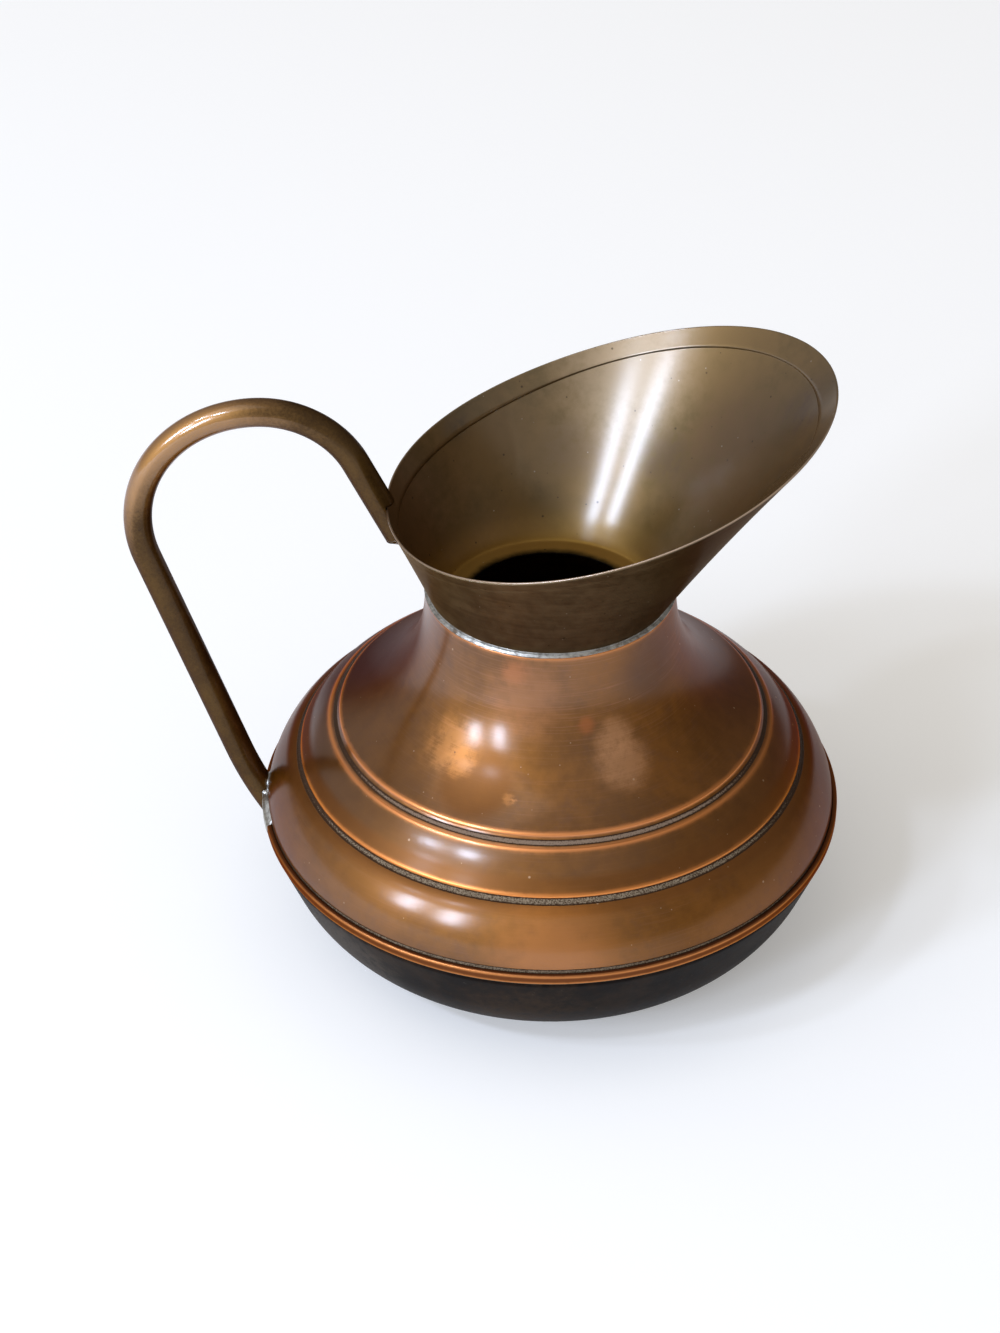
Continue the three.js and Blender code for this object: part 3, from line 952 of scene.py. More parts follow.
@dataclass(frozen=True)
class SpoutBrass(Finish):
    """Olive brown brass, stained and specked inside and darker outside, with a folded rim and painted light
    and shade.
    """

    olive: Colour = (0.105, 0.064, 0.012)
    straw: Colour = (0.176, 0.101, 0.028)
    outer: Colour = (0.100, 0.066, 0.034)
    outer_light: Colour = (0.180, 0.125, 0.068)
    gold: Colour = (0.34, 0.195, 0.046)
    speck: Colour = (0.030, 0.020, 0.010)
    bright: Colour = (0.48, 0.35, 0.26)
    pale: Colour = (0.50, 0.45, 0.38)
    shade: Colour = (0.004, 0.003, 0.002)
    edge: Colour = (0.45, 0.32, 0.17)
    clouds: Lumps = (30.0, 3.0, 0.45)
    mottles: Lumps = (4.0, 6.0, 0.65)
    grains: Lumps = (0.6, 3.0, 0.7)
    brushed: Lumps = (1.6, 4.0, 0.6)
    brushed_along: Place = (0.06, 0.06, 1.0)
    large_specks: Dots = (6.0, 0.085, 0.55)
    small_specks: Dots = (3.1, 0.11, 0.16)
    pale_specks: Dots = (4.3, 0.08, 0.35)
    foot_glow_z: Slope = (122.0, 134.0)
    side_shade_across: Slope = (8.0, 46.0)
    front_y: Slope = (-52.0, 8.0)
    hole_shade: Slope = (27.7, 31.5)
    bend_reach: Slope = (35.4, 37.2)
    blotches: tuple[Blotch, ...] = SPOUT_BLOTCHES

    def sides(self, graph: Graph, place: Wire, cloud: Wire, mottle: Wire) -> Wire:
        """Stained clouds with a painted golden reflection at the foot inside, and brushed, darker metal
        outside with painted shade on its right.

        Args:
            graph: The material's node graph.
            place: Where on the object.
            cloud: Coarse noise.
            mottle: Fine noise.

        Returns:
            The colour of both sides of the sheet.
        """
        tone = graph.smooth(graph.blend(cloud, mottle, 0.65), 0.36, 0.64)
        colour = graph.mix(tone, self.olive, self.straw)
        for blotch in self.blotches:
            colour = blotch.over(graph, place, mottle, colour)
        # Painted reflection: the inside turns golden towards the foot.
        low = 1 - graph.smooth(graph.part(place, 2) + 6.0 * (mottle - 0.5), *self.foot_glow_z)
        colour = graph.mix(low * 0.75, colour, self.gold)
        brushed = graph.noise(graph.stretched(place, self.brushed_along), *self.brushed)
        shine = graph.smooth(graph.blend(tone, brushed, 0.4), 0.15, 0.85)
        outside = graph.mix(shine, self.outer, self.outer_light)
        # Painted shade: the right of the outside darker, in the speck colour.
        side_shade = graph.smooth(graph.part(place, 0), *self.side_shade_across)
        outside = graph.mix(side_shade * 0.75, outside, self.speck)
        return graph.mix(1 - graph.mark("inside"), colour, outside)

    def paint(self, graph: Graph) -> Look:
        """Clouds of olive, straw and mauve with dark specks and a rubbed rim edge that is partly a painted
        highlight.

        Args:
            graph: The material's node graph.

        Returns:
            The look.
        """
        place = graph.place()
        polish, grime, inside = graph.mark("polish"), graph.mark("grime"), graph.mark("inside")
        cloud, mottle = graph.noise(place, *self.clouds), graph.noise(place, *self.mottles)
        grain = graph.noise(place, *self.grains)
        colour = self.sides(graph, place, cloud, mottle)
        specks = graph.most(*(graph.dots(place, *size) for size in (self.large_specks, self.small_specks)))
        colour = graph.mix(specks * 0.75, colour, self.speck)
        colour = graph.mix(graph.dots(place, *self.pale_specks) * 0.45, colour, self.pale)
        # The rim's rubbed edge, partly a painted highlight that is strongest towards the front.
        front = graph.smooth(graph.part(place, 1), *self.front_y)
        colour = graph.mix(polish * (1.0 - 0.75 * front), colour, self.bright)
        dirt = graph.smooth(grime * (0.1 + 1.2 * cloud), 0.50, 0.72)
        colour = graph.mix(dirt * 0.4, colour, self.speck)
        reach = graph.vector("LENGTH", graph.stretched(place, (1.0, 1.0, 0.0)))
        hole = 1 - graph.smooth(reach + 2.0 * (mottle - 0.5), *self.hole_shade)
        cone = graph.smooth(reach, *self.bend_reach)
        roughness = 0.49 + 0.14 * (mottle - 0.5) + 0.05 * (grain - 0.5) + 0.15 * dirt
        return Look(
            graph.mix(hole, colour, self.shade),
            roughness=roughness + 0.2 * (1 - cone),
            normal=graph.bump(mottle, 0.010),
            coat=(0.08 + 0.92 * inside) * cone * (1 - 0.6 * specks),
            coat_roughness=0.22,
            coat_index=1.70,
            edge=self.edge,
        )


@dataclass(frozen=True)
class HandleBrass(Finish):
    """Bronze brown tube, worn golden where the hand holds it, partly a painted highlight where the light
    falls on the bend.
    """

    brown: Colour = (0.074, 0.037, 0.010)
    tan: Colour = (0.120, 0.063, 0.016)
    gold: Colour = (0.38, 0.175, 0.036)
    dark: Colour = (0.035, 0.018, 0.008)
    edge: Colour = (0.25, 0.15, 0.07)
    clouds: Lumps = (12.0, 4.0, 0.55)
    pits: Lumps = (2.5, 5.0, 0.7)
    grains: Lumps = (0.8, 5.0, 0.7)

    def paint(self, graph: Graph) -> Look:
        """Grainy brown with a golden band where the mark says that it is worn, partly a painted highlight.

        Args:
            graph: The material's node graph.

        Returns:
            The look.
        """
        place = graph.place()
        cloud, grain = graph.noise(place, *self.clouds), graph.noise(place, *self.grains)
        colour = graph.mix(graph.smooth(graph.blend(cloud, grain, 0.5), 0.36, 0.64), self.brown, self.tan)
        pits = graph.smooth(graph.noise(place, *self.pits), 0.55, 0.72)
        colour = graph.mix(pits * 0.5, colour, self.dark)
        # Worn golden band, partly a painted highlight on the lit outer side of the bend.
        uneven = graph.mark("worn") + 0.35 * (grain - 0.5) + 0.35 * (cloud - 0.5)
        rubbed = graph.smooth(uneven, 0.15, 0.85)
        return Look(
            graph.mix(rubbed * 0.85, colour, self.gold),
            roughness=0.53 + 0.2 * (grain - 0.5),
            normal=graph.bump(grain, 0.03),
            coat=0.16 + 0.84 * rubbed,
            coat_roughness=0.15,
            coat_index=1.85,
            edge=self.edge,
        )


@dataclass(frozen=True)
class TinSolder(Finish):
    """Soft solder: pale grey, lumpy and scraped, with brown stains."""

    tin: Colour = (0.52, 0.52, 0.50)
    grey: Colour = (0.27, 0.26, 0.24)
    stain: Colour = (0.16, 0.11, 0.07)
    lumps: Lumps = (2.2, 4.0, 0.6)
    stains: Lumps = (5.0, 5.0, 0.7)
    grains: Lumps = (0.5, 3.0, 0.7)

    def paint(self, graph: Graph) -> Look:
        """Two greys in lumps, with brown stains in the hollows.

        Args:
            graph: The material's node graph.

        Returns:
            The look.
        """
        place = graph.place()
        lumps, grain = graph.noise(place, *self.lumps), graph.noise(place, *self.grains)
        colour = graph.mix(graph.smooth(lumps, 0.35, 0.6), self.grey, self.tin)
        stain = graph.smooth(graph.noise(place, *self.stains), 0.55, 0.7)
        return Look(
            graph.mix(stain * 0.7, colour, self.stain),
            roughness=0.4 + 0.25 * (grain - 0.5),
            normal=graph.bump(lumps + grain * 0.4, 0.12),
        )


@dataclass(frozen=True)
class Finishes:
    """The five finishes, one for each slot of the record."""

    copper: Finish = PolishedCopper("old_copper")
    sooted: Finish = SootedCopper("sooted_copper_sheet")
    spout: Finish = SpoutBrass("stained_brass")
    handle: Finish = HandleBrass("worn_tube_brass")
    solder: Finish = TinSolder("soft_solder")


@dataclass
class Piece:
    """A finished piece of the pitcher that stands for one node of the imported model."""

    name: str
    node: str
    slot: Slot
    material: bpy.types.Material
    patches: Sequence[Patch]

    def place(self) -> bpy.types.Object:
        """Makes the object, dresses it, hides the node that it stands for and attaches it to the body.

        Returns:
            The object.
        """
        thing = put_in_scene(self.name, mesh_of(self.name, self.patches))
        thing.data.materials.append(self.material)
        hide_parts(self.node)
        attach(thing, BODY)
        LOG.info("%s: %d faces for %s", self.name, len(thing.data.polygons), self.node)
        return thing


# The copper vessel

@dataclass(frozen=True)
class Sheet:
    """Sizes that the copper and brass sheets share."""

    thickness: float = 0.8
    clearance: float = 0.15
    columns: int = 320


@dataclass(frozen=True)
class Dents:
    """Shallow dents of an old vessel, which bend the reflections a little."""

    count: int = 26
    seed: int = 11
    depth: Flat = (0.03, 0.16)
    width: Flat = (7.0, 17.0)
    heights: Flat = (50.0, 118.0)
    reach: float = 92.0

    def pressed(self, points: Array) -> Array:
        """Moves a grid towards the axis by the sum of smooth dents at drawn places.

        Args:
            points: The grid, rows by columns by three.

        Returns:
            The grid with each point moved along its own radius by depth times a hump of its
            distance from each dent's centre.
        """
        draw = np.random.default_rng(self.seed)
        angle = draw.uniform(0.0, 2 * math.pi, self.count)
        height = draw.uniform(*self.heights, self.count)
        radius = self.reach - 0.62 * (height - self.heights[0])
        depth = draw.uniform(*self.depth, self.count)
        width = draw.uniform(*self.width, self.count)
        centre = ringed(radius, angle, height)
        pressed = points.copy()
        reach = np.linalg.norm(points[..., :2], axis=-1)
        total = np.zeros(reach.shape)
        for i in range(self.count):
            gap = np.linalg.norm(points - centre[i], axis=-1)
            total += depth[i] * bell(gap, width[i])
        pressed[..., :2] *= (1 - total / np.maximum(reach, 1.0))[..., None]
        return pressed


@dataclass
class Seam:
    """The folded seam at the girth: the bowl's edge wraps the doubled edge of the body."""

    radius: float = 95.0
    flange_out: float = 0.75
    flange_z: Flat = (43.35, 44.85)
    lip_z: Flat = (42.4, 45.8)
    lip_radius: float = 96.7
    lip_round: float = 0.6


@dataclass
class LowerBowl:
    """The blackened bowl: a flat base, a big round corner, a leaning wall and the fold."""

    sheet: Sheet
    seam: Seam
    base_radius: float = 51.4
    corner_radius: float = 41.9
    wall_flare: float = 0.385
    wall_top: float = 40.4
    lip_wear: float = 0.42
    dirt_width: float = 0.4
    centre_rows: int = 14
    wall_rows: int = 16

    def outside(self, corner_points: int) -> Array:
        """Base, corner and wall: a flat line, an arc up to the wall's slope, and the wall.

        Args:
            corner_points: How many points the corner has.

        Returns:
            Radius and height of each point.
        """
        facing = -math.degrees(math.atan(self.wall_flare))
        centre = (self.base_radius, self.corner_radius)
        corner = arc(centre, self.corner_radius, -90, facing, corner_points)
        bend = corner[-1]
        top = (bend[0] + self.wall_flare * (self.wall_top - bend[1]), self.wall_top)
        base = straight((0.0, 0.0), (self.base_radius, 0.0), self.centre_rows)
        return joined(base, corner, straight(tuple(bend), top, self.wall_rows))

    def fold(self) -> Array:
        """The sheet folded out, up and in again over the flange, as radius and height.

        Returns:
            Radius and height of each point.
        """
        seam, sheet = self.seam, self.sheet
        wall = self.outside(40)[-1]
        bottom, top = seam.lip_z
        middle = seam.lip_radius - seam.lip_round
        leaf = seam.radius + sheet.clearance
        pocket = seam.lip_radius - sheet.thickness
        seat = bottom + sheet.thickness
        low, high = bottom + seam.lip_round, top - seam.lip_round
        leave, arrive = (wall[0] + 0.2, self.wall_top + 0.6), (wall[0] + 0.05, bottom - 0.4)
        return joined(
            cubic(tuple(wall), leave, arrive, (wall[0] + 0.25, bottom - 0.1), 8),
            arc((middle, low), seam.lip_round, -90, 0, 8),
            straight((seam.lip_radius, low), (seam.lip_radius, high), 6),
            arc((middle, high), seam.lip_round, 0, 90, 10),
            arc((leaf + 0.3, top - 0.3), 0.3, 90, 180, 5),
            [(leaf, top - sheet.thickness), (pocket, top - sheet.thickness), (pocket, seat)],
            [(wall[0] - sheet.thickness - 0.4, seat)],
        )

    def patch(self) -> Patch:
        """The whole bowl: outside and fold, then the inside a sheet's thickness away.

        Returns:
            The skin with its marks.
        """
        outside = self.outside(48)
        inside = offset(self.outside(36), self.sheet.thickness)[::-1]
        inside[-1, 0] = 0.0
        line = joined(outside, self.fold(), inside)
        run = run_along(line)
        height, reach = line[:, 1], line[:, 0]
        seam = self.seam
        outer = np.arange(len(line)) < len(outside) + len(self.fold())
        lip = humps(height, [seam.lip_z[0] + 0.5, seam.lip_z[1] - 0.45], self.lip_wear)
        polish = lip * outer * (reach > seam.lip_radius - 0.5)
        under = outer * (reach < seam.lip_radius - 0.35)
        grime = bell(height - seam.lip_z[0] + 0.2, self.dirt_width) * under
        bare = (height > seam.lip_z[0] - 0.2) * outer * 1.0
        steps = self.sheet.columns
        marks = spread(steps, run=run, polish=polish, grime=grime, bare=bare)
        return Patch(revolved(line, steps), pole_first=True, pole_last=True, marks=marks)


@dataclass
class UpperBody:
    """The polished body: a torus, two steps with rounded lips, a dome and the neck."""

    sheet: Sheet
    seam: Seam
    dents: Dents
    torus_foot: float = 46.3
    torus_rise: float = 5.7
    torus_reach: Flat = (5.0, 2.3)
    lower_ledge: Flat = (84.6, 64.9)
    lower_lip: Flat = (82.05, 66.35)
    lower_round: float = 1.15
    bead: Flat = (72.6, 76.35)
    bead_round: float = 1.25
    band_slope: float = 42.4
    band_bulge: float = 0.6
    upper_ledge: Flat = (71.2, 78.45)
    upper_lip: Flat = (68.7, 79.8)
    upper_round: float = 1.2
    dome_slope: float = 64.0
    bell_reach: Flat = (21.0, 22.0)
    neck_radius: float = 40.45
    neck_top: float = 127.2
    inside_detail: float = 0.38
    lip_wear: float = 0.85
    groove_dirt: Flat = (1.35, 1.1)
    foot_dirt: float = 0.8
    washed_sides: float = 0.45
    neck_wear: Flat = (0.8, 1.1)

    def torus(self, count: int) -> Array:
        """From the seam up and over to the lower ledge: one cubic curve.

        Args:
            count: How many points.

        Returns:
            Radius and height of each point.
        """
        foot, ledge, reach = (self.seam.radius, self.torus_foot), self.lower_ledge, self.torus_reach
        leave, arrive = (foot[0], foot[1] + self.torus_rise), (foot[0] - reach[0], ledge[1] - reach[1])
        return cubic(foot, leave, arrive, ledge, count)

    def band(self, start: Array, end: Array, count: int) -> Array:
        """The sloping band between the lower lip and the bead: a chord plus a low parabola.

        Args:
            start: Top of the lip.
            end: Foot of the bead.
            count: How many points.

        Returns:
            Radius and height of each point.
        """
        facing = math.radians(self.band_slope)
        rise = shares(0.0, 1.0, count)[1:-1]
        bulge = 4 * self.band_bulge * rise * (1 - rise)
        return start + (end - start) * rise + bulge * np.array([math.cos(facing), math.sin(facing)])

    def dome(self, start: Array, count: int) -> Array:
        """The bell-shaped shoulder: one cubic curve that leaves along the lip and ends upright.

        Args:
            start: Top of the upper lip.
            count: How many points.

        Returns:
            Radius and height of each point.
        """
        slope, reach = math.radians(self.dome_slope), self.bell_reach
        leave = (start[0] - reach[0] * math.sin(slope), start[1] + reach[0] * math.cos(slope))
        arrive, neck = (self.neck_radius, self.neck_top - reach[1]), (self.neck_radius, self.neck_top)
        return cubic(tuple(start), leave, arrive, neck, count)

    def stretches(self, detail: float) -> dict[str, Array]:
        """The outside from the torus to the neck, stretch by stretch.

        Args:
            detail: One for the fine outside and less for the hidden inside.

        Returns:
            Each stretch as radius and height, by name.
        """
        def rows(most: int) -> int:
            """Rows of a stretch that has this many where it is fine."""
            return max(3, round(most * detail))

        torus = self.torus(rows(60))
        lower = arc(self.lower_lip, self.lower_round, -20, self.band_slope, rows(12))
        bead = arc(self.bead, self.bead_round, self.band_slope, 75, rows(9))
        upper = arc(self.upper_lip, self.upper_round, -5, self.dome_slope, rows(12))
        low_ledge = (self.lower_ledge[0] - 0.6, self.lower_ledge[1] + 0.25)
        top_ledge = (self.upper_ledge[0] - 0.6, self.upper_ledge[1] + 0.3)
        return {
            "torus": torus,
            "low_groove": joined(straight(torus[-1], low_ledge, 4), straight(low_ledge, lower[0], rows(7))),
            "lower": lower,
            "band": self.band(lower[-1], bead[0], rows(20)),
            "bead": bead,
            "top_groove": joined(
                straight(bead[-1], self.upper_ledge, rows(7)),
                straight(self.upper_ledge, top_ledge, 4),
                straight(top_ledge, upper[0], rows(6)),
            ),
            "upper": upper,
            "dome": self.dome(upper[-1], rows(76)),
        }

    def flange(self) -> Array:
        """The doubled edge that the bowl's fold holds.

        Returns:
            Radius and height of each point.
        """
        bottom, top = self.seam.flange_z
        edge = self.seam.radius + self.seam.flange_out
        return np.array([
            (self.seam.radius - self.sheet.thickness, bottom),
            (edge, bottom),
            (edge, top),
            (self.seam.radius, top),
        ])

    def patch(self) -> Patch:
        """The whole body: flange, outside, and the inside a sheet's thickness away.

        Returns:
            The dented skin with its marks.
        """
        fine = self.stretches(1.0)
        outside = joined(*fine.values())
        hidden = joined(*self.stretches(self.inside_detail).values())
        inside = offset(hidden, self.sheet.thickness)[::-1]
        flange = self.flange()
        line = joined(flange, outside, inside)
        run = run_along(line)
        at = {name: run[len(flange)] + self.middle(outside, stretch) for name, stretch in fine.items()}
        shown = (np.arange(len(line)) < len(flange) + len(outside)) * 1.0
        # Rubbed lips, which the copper finish also paints as a highlight.
        polish = humps(run, [at["lower"], at["bead"], at["upper"]], self.lip_wear) * shown
        grooves = zip(("low_groove", "top_groove"), self.groove_dirt)
        grime = np.maximum(*(humps(run, [at[name]], width) for name, width in grooves)) * shown
        foot = bell(line[:, 1] - self.torus_foot, self.foot_dirt) * shown
        steps = self.sheet.columns
        marks = spread(steps, run=run, polish=polish, grime=np.maximum(grime, foot))
        angle = around(steps)
        marks["grime"] = marks["grime"] * (1 - self.washed_sides * np.cos(angle) ** 2)
        frontward = np.clip(0.2 - np.sin(angle), 0.0, 1.0)
        neck = self.neck_wear[0] * bell(line[:, 1] - self.neck_top, self.neck_wear[1]) * shown
        marks["polish"] = np.maximum(marks["polish"], neck[:, None] * frontward)
        grid = self.dents.pressed(revolved(line, steps))
        return Patch(grid, rows_close=True, marks=marks)

    @staticmethod
    def middle(line: Array, stretch: Array) -> float:
        """How far along the line the middle of one of its stretches lies.

        Args:
            line: The line.
            stretch: Part of it.

        Returns:
            The distance from the line's start.
        """
        centre = stretch.mean(axis=0)
        nearest = np.argmin(np.linalg.norm(line - centre, axis=1))
        return float(run_along(line)[nearest])


@dataclass
class Vessel:
    """The copper skin as a whole, which the handle's foot and its solder are fitted to."""

    bowl: LowerBowl
    body: UpperBody
    probe: float = 0.3

    def skin(self) -> Array:
        """Radius and height of the outside from the corner of the base to the neck.

        Returns:
            Radius and height of each point.
        """
        seam = self.bowl.seam
        lip = [
            (seam.lip_radius, seam.lip_z[0]),
            (seam.lip_radius, seam.lip_z[1] - 0.3),
            (seam.lip_radius - 0.4, seam.lip_z[1]),
            (seam.radius + 0.1, seam.lip_z[1] + 0.05),
        ]
        low = self.bowl.outside(48)[self.bowl.centre_rows:]
        return joined(low, lip, *self.body.stretches(1.0).values())

    def reach(self, height: Array) -> Array:
        """Radius of the outside at each height."""
        skin = self.skin()
        return np.interp(height, np.maximum.accumulate(skin[:, 1]), skin[:, 0])

    def outside_by(self, points: Array) -> Array:
        """How far each point is from the skin, level with it: below zero inside."""
        return from_axis(points) - self.reach(points[..., 2])

    def onto(self, points: Array, above: float) -> Array:
        """The points moved level with themselves to a distance above the skin.

        Args:
            points: Places in millimetres.
            above: Distance to stand off.

        Returns:
            The moved points.
        """
        moved = points.copy()
        wanted = self.reach(points[..., 2]) + above
        moved[..., :2] *= (wanted / from_axis(points))[..., None]
        return moved

    def facing(self, points: Array) -> Array:
        """Direction square to the skin at points on it, from its slope between a probe up and down.

        Args:
            points: Places in millimetres.

        Returns:
            A direction for each point.
        """
        rise, height, here = self.probe, points[..., 2], from_axis(points)
        slope = (self.reach(height + rise) - self.reach(height - rise)) / (2 * rise)
        return unit(np.stack([points[..., 0] / here, points[..., 1] / here, -slope], axis=-1))


# The brass spout

@dataclass
class Stretch:
    """Rows of the spout's grid, and how rubbed (partly a painted highlight), how dirty and how far inside
    they are.
    """

    points: Array
    polish: Array | float = 0.0
    grime: Array | float = 0.0
    inside: float = 1.0

    def marks(self) -> dict[str, Array]:
        """The three marks at every point."""
        given = {"polish": self.polish, "grime": self.grime, "inside": self.inside}
        return {name: np.broadcast_to(value, self.points.shape[:2]) for name, value in given.items()}


@dataclass
class Spout:
    """A leaning cone that opens like a trumpet, cut along a sloping wavy rim and hemmed."""

    sheet: Sheet
    joint_radius: float = 39.4
    joint_z: float = 128.0
    flare: float = 0.508
    trumpet: float = 0.00082
    lean: float = 0.115
    rim_height: float = 44.5
    rim_slope: float = 0.294
    rim_tilt: float = 1.6
    rim_saddle: float = 1.0
    rim_ripple: float = 0.45
    throat: Flat = (27.9, 120.4)
    flat_end: Flat = (33.2, 120.45)
    foot_bend: Flat = (35.5, 120.5)
    turn_end: Flat = (36.7, 122.7)
    brass: float = 0.55
    hem_width: float = 7.0
    hem_thickness: float = 0.14
    hem_lean: float = 0.36
    hem_open_at: float = 72.0
    hem_open_over: float = 34.0
    hem_fall: Flat = (0.25, 1.3)
    rim_round: float = 0.3
    crease_below_rim: float = 4.6
    crease_width: float = 0.45
    crease_depth: float = 0.09
    bruise_foot: Flat = (105.3, 19.0)
    bruise_top: Flat = (109.2, 34.5)
    bruise_depth: float = 0.10
    bruise_width: float = 1.6
    bruise_start: Slope = (12.0, 20.0)
    even_below: float = 10.0
    swell: Wavy = Wavy(5, 3, 7, 0.05)
    ripple: Wavy = Wavy(6, 9, 16, 0.008)
    foot_rows: int = 22
    side_rows: int = 70
    edge_rows: int = 11
    hem_rows: int = 10
    hem_edge_rows: int = 6

    def radius(self, height: Array) -> Array:
        """Radius of the cone: it grows with the height and a little with its square."""
        return self.joint_radius + self.flare * height + self.trumpet * height**2

    def rim(self, angle: Array) -> Array:
        """Height of the rim above the joint, by putting the cone's reach into the slope again.

        Args:
            angle: Directions round the axis in radians.

        Returns:
            The height in each direction.
        """
        wave = self.rim_tilt * np.sin(angle) + self.rim_saddle * np.cos(2 * angle)
        wave = wave + self.rim_ripple * np.sin(3 * angle)
        height = np.full(np.shape(angle), self.rim_height)
        for _ in range(12):
            forward = self.radius(height) * np.cos(angle) + self.lean * height
            height = self.rim_height + self.rim_slope * forward + wave
        return height

    def square_to(self, angle: Array, height: Array) -> Array:
        """Direction square to the cone, outwards: level with the angle and down by the flare.

        Args:
            angle: Directions round the axis in radians.
            height: Heights above the joint.

        Returns:
            A direction for each.
        """
        opening = self.flare + 2 * self.trumpet * height
        parts = np.broadcast_arrays(np.cos(angle), np.sin(angle), -(opening + self.lean * np.cos(angle)))
        return unit(np.stack(parts, axis=-1))

    def point(self, angle: Array, height: Array, depth: Array) -> Array:
        """A point of the cone, depth millimetres inside the sheet's outer face.

        Args:
            angle: Directions round the axis in radians.
            height: Heights above the joint.
            depth: Depths inside the face.

        Returns:
            A point for each.
        """
        reach = self.radius(height)
        forward = reach * np.cos(angle) + self.lean * height
        parts = np.broadcast_arrays(forward, reach * np.sin(angle), self.joint_z + height)
        return np.stack(parts, axis=-1) - self.square_to(angle, height) * depth[..., None]

    def foot(self, count: int) -> Array:
        """The turned-in foot of the cone inside the neck, as radius and height.

        Args:
            count: How many points.

        Returns:
            Radius and height of each point.
        """
        joint = (self.joint_radius, self.joint_z)
        turn = cubic(self.flat_end, self.foot_bend, self.foot_bend, self.turn_end, count - 8)
        return joined(straight(self.throat, self.flat_end, 5), turn, straight(self.turn_end, joint, 5))

    def unevenness(self, angle: Array, height: Array) -> Array:
        """How far the hand-worked sheet stands in or out, a tenth of a millimetre or so.

        It swells round the cone, ripples along a slow spiral, and has a long bruise that leans
        from its foot to its top. Nothing of it is left at the joint.

        Args:
            angle: Directions round the axis in radians.
            height: Heights above the joint.

        Returns:
            The distance outwards.
        """
        swell = self.swell.at(angle) + self.ripple.at(angle + height * 0.004)
        (low_side, low), (high_side, high) = self.bruise_foot, self.bruise_top
        line = np.interp(height, [low, high], [low_side, high_side])
        gap = (np.degrees(angle) - line) * 0.9
        start, full = self.bruise_start
        bruise = bell(gap, self.bruise_width) * np.clip((height - start) / (full - start), 0.0, 1.0)
        return swell * np.clip(height / self.even_below, 0.0, 1.0) + self.bruise_depth * bruise

    def course(self, angle: Array, height: Array, depth: Array | float, **marks: Array | float) -> Stretch:
        """Rows on the cone at heights above the joint and depths inside its outer face."""
        points = self.point(angle, height, depth - self.unevenness(angle, height))
        return Stretch(points, **marks)

    def outer(self, angle: Array, rim: Array) -> Stretch:
        """The outside at even shares of the rim's height, with a fine crease below the rim.

        Args:
            angle: Directions round the axis in radians.
            rim: Height of the rim in each direction.

        Returns:
            The rows, upwards.
        """
        height = shares(0.02, 1.0, self.side_rows) * (rim - self.rim_round)
        below = (rim - height) / self.slant()
        crease = self.crease_depth * bell(below - self.crease_below_rim, self.crease_width)
        return self.course(angle, height, crease, inside=0.0)

    def edge(self, angle: Array, rim: Array) -> Stretch:
        """The edge of the rim: half a turn over the doubled sheet, rubbed at its top, partly as a painted
        highlight.

        Args:
            angle: Directions round the axis in radians.
            rim: Height of the rim in each direction.

        Returns:
            The rows, from outside to inside.
        """
        turn = np.radians(shares(0, 180, self.edge_rows))
        half = (self.brass + self.hem_thickness) / 2
        height = rim - self.rim_round + self.rim_round * np.sin(turn)
        return self.course(angle, height, half - half * np.cos(turn), polish=np.sin(turn) ** 4)

    def lining(self, angle: Array, rim: Array) -> list[Stretch]:
        """The hem, its lower edge and the inside below it.

        The hem leans in as it goes down. Its edge is a quarter turn that is short where the fold
        is crisp and long where it opens. The inside follows the outside at the brass's thickness.

        Args:
            angle: Directions round the axis in radians.
            rim: Height of the rim in each direction.

        Returns:
            The three, downwards.
        """
        width, slant = self.hem_width - 1.0, self.slant()
        share = shares(0.12, 1.0, self.hem_rows)
        depth = self.brass + self.hem_thickness + self.hem_lean * (share - 0.1)
        hem = self.course(angle, rim - self.rim_round - share * width * slant, depth)
        foot = rim - self.rim_round - width * slant
        crisp = bell(np.degrees(angle) - self.hem_open_at, self.hem_open_over)
        fall = self.hem_fall[0] + self.hem_fall[1] * (1 - crisp)
        turn = shares(0.2, 1.0, self.hem_edge_rows) * math.pi / 2
        thick = (self.hem_thickness + self.hem_lean * 0.9) * np.cos(turn)
        lower = self.course(angle, foot - fall * np.sin(turn), self.brass + thick, grime=crisp)
        share = shares(0.0, 1.0, self.side_rows)
        inner = self.course(angle, (foot - fall - 0.3) * (1 - share) + 0.6 * share, self.brass)
        return [hem, lower, inner]

    def slant(self) -> float:
        """Height gained for a millimetre along the cone."""
        return 1 / math.hypot(1, self.flare)

    def patch(self) -> Patch:
        """The whole spout as closed sections round the axis, outside first and then inside.

        Returns:
            The skin with its marks.
        """
        steps, foot = self.sheet.columns, self.foot(self.foot_rows)
        angle = around(steps)
        rim = self.rim(angle)
        parts = [
            Stretch(revolved(foot, steps), grime=0.3, inside=0.0),
            self.outer(angle, rim),
            self.edge(angle, rim),
            *self.lining(angle, rim),
            Stretch(revolved(offset(foot, self.brass)[::-1][1:], steps)),
        ]
        marks = [part.marks() for part in parts]
        joint = {name: np.vstack([some[name] for some in marks]) for name in marks[0]}
        return Patch(np.vstack([part.points for part in parts]), rows_close=True, marks=joint)

    def seen_by(self, points: Array) -> tuple[Array, Array, Array]:
        """Height above the joint, direction round the leaning axis and reach from it.

        Args:
            points: Places in millimetres.

        Returns:
            The three, one of each for every point.
        """
        height = points[..., 2] - self.joint_z
        forward = points[..., 0] - self.lean * height
        return height, np.arctan2(points[..., 1], forward), np.hypot(forward, points[..., 1])

    def outside_by(self, points: Array) -> Array:
        """How far each point is from the cone's outside, level with it: below zero inside."""
        height, _, reach = self.seen_by(points)
        return reach - self.radius(height)

    def above_rim(self, points: Array) -> Array:
        """How far each point is above the rim on its own side."""
        height, angle, _ = self.seen_by(points)
        return height - self.rim(angle)

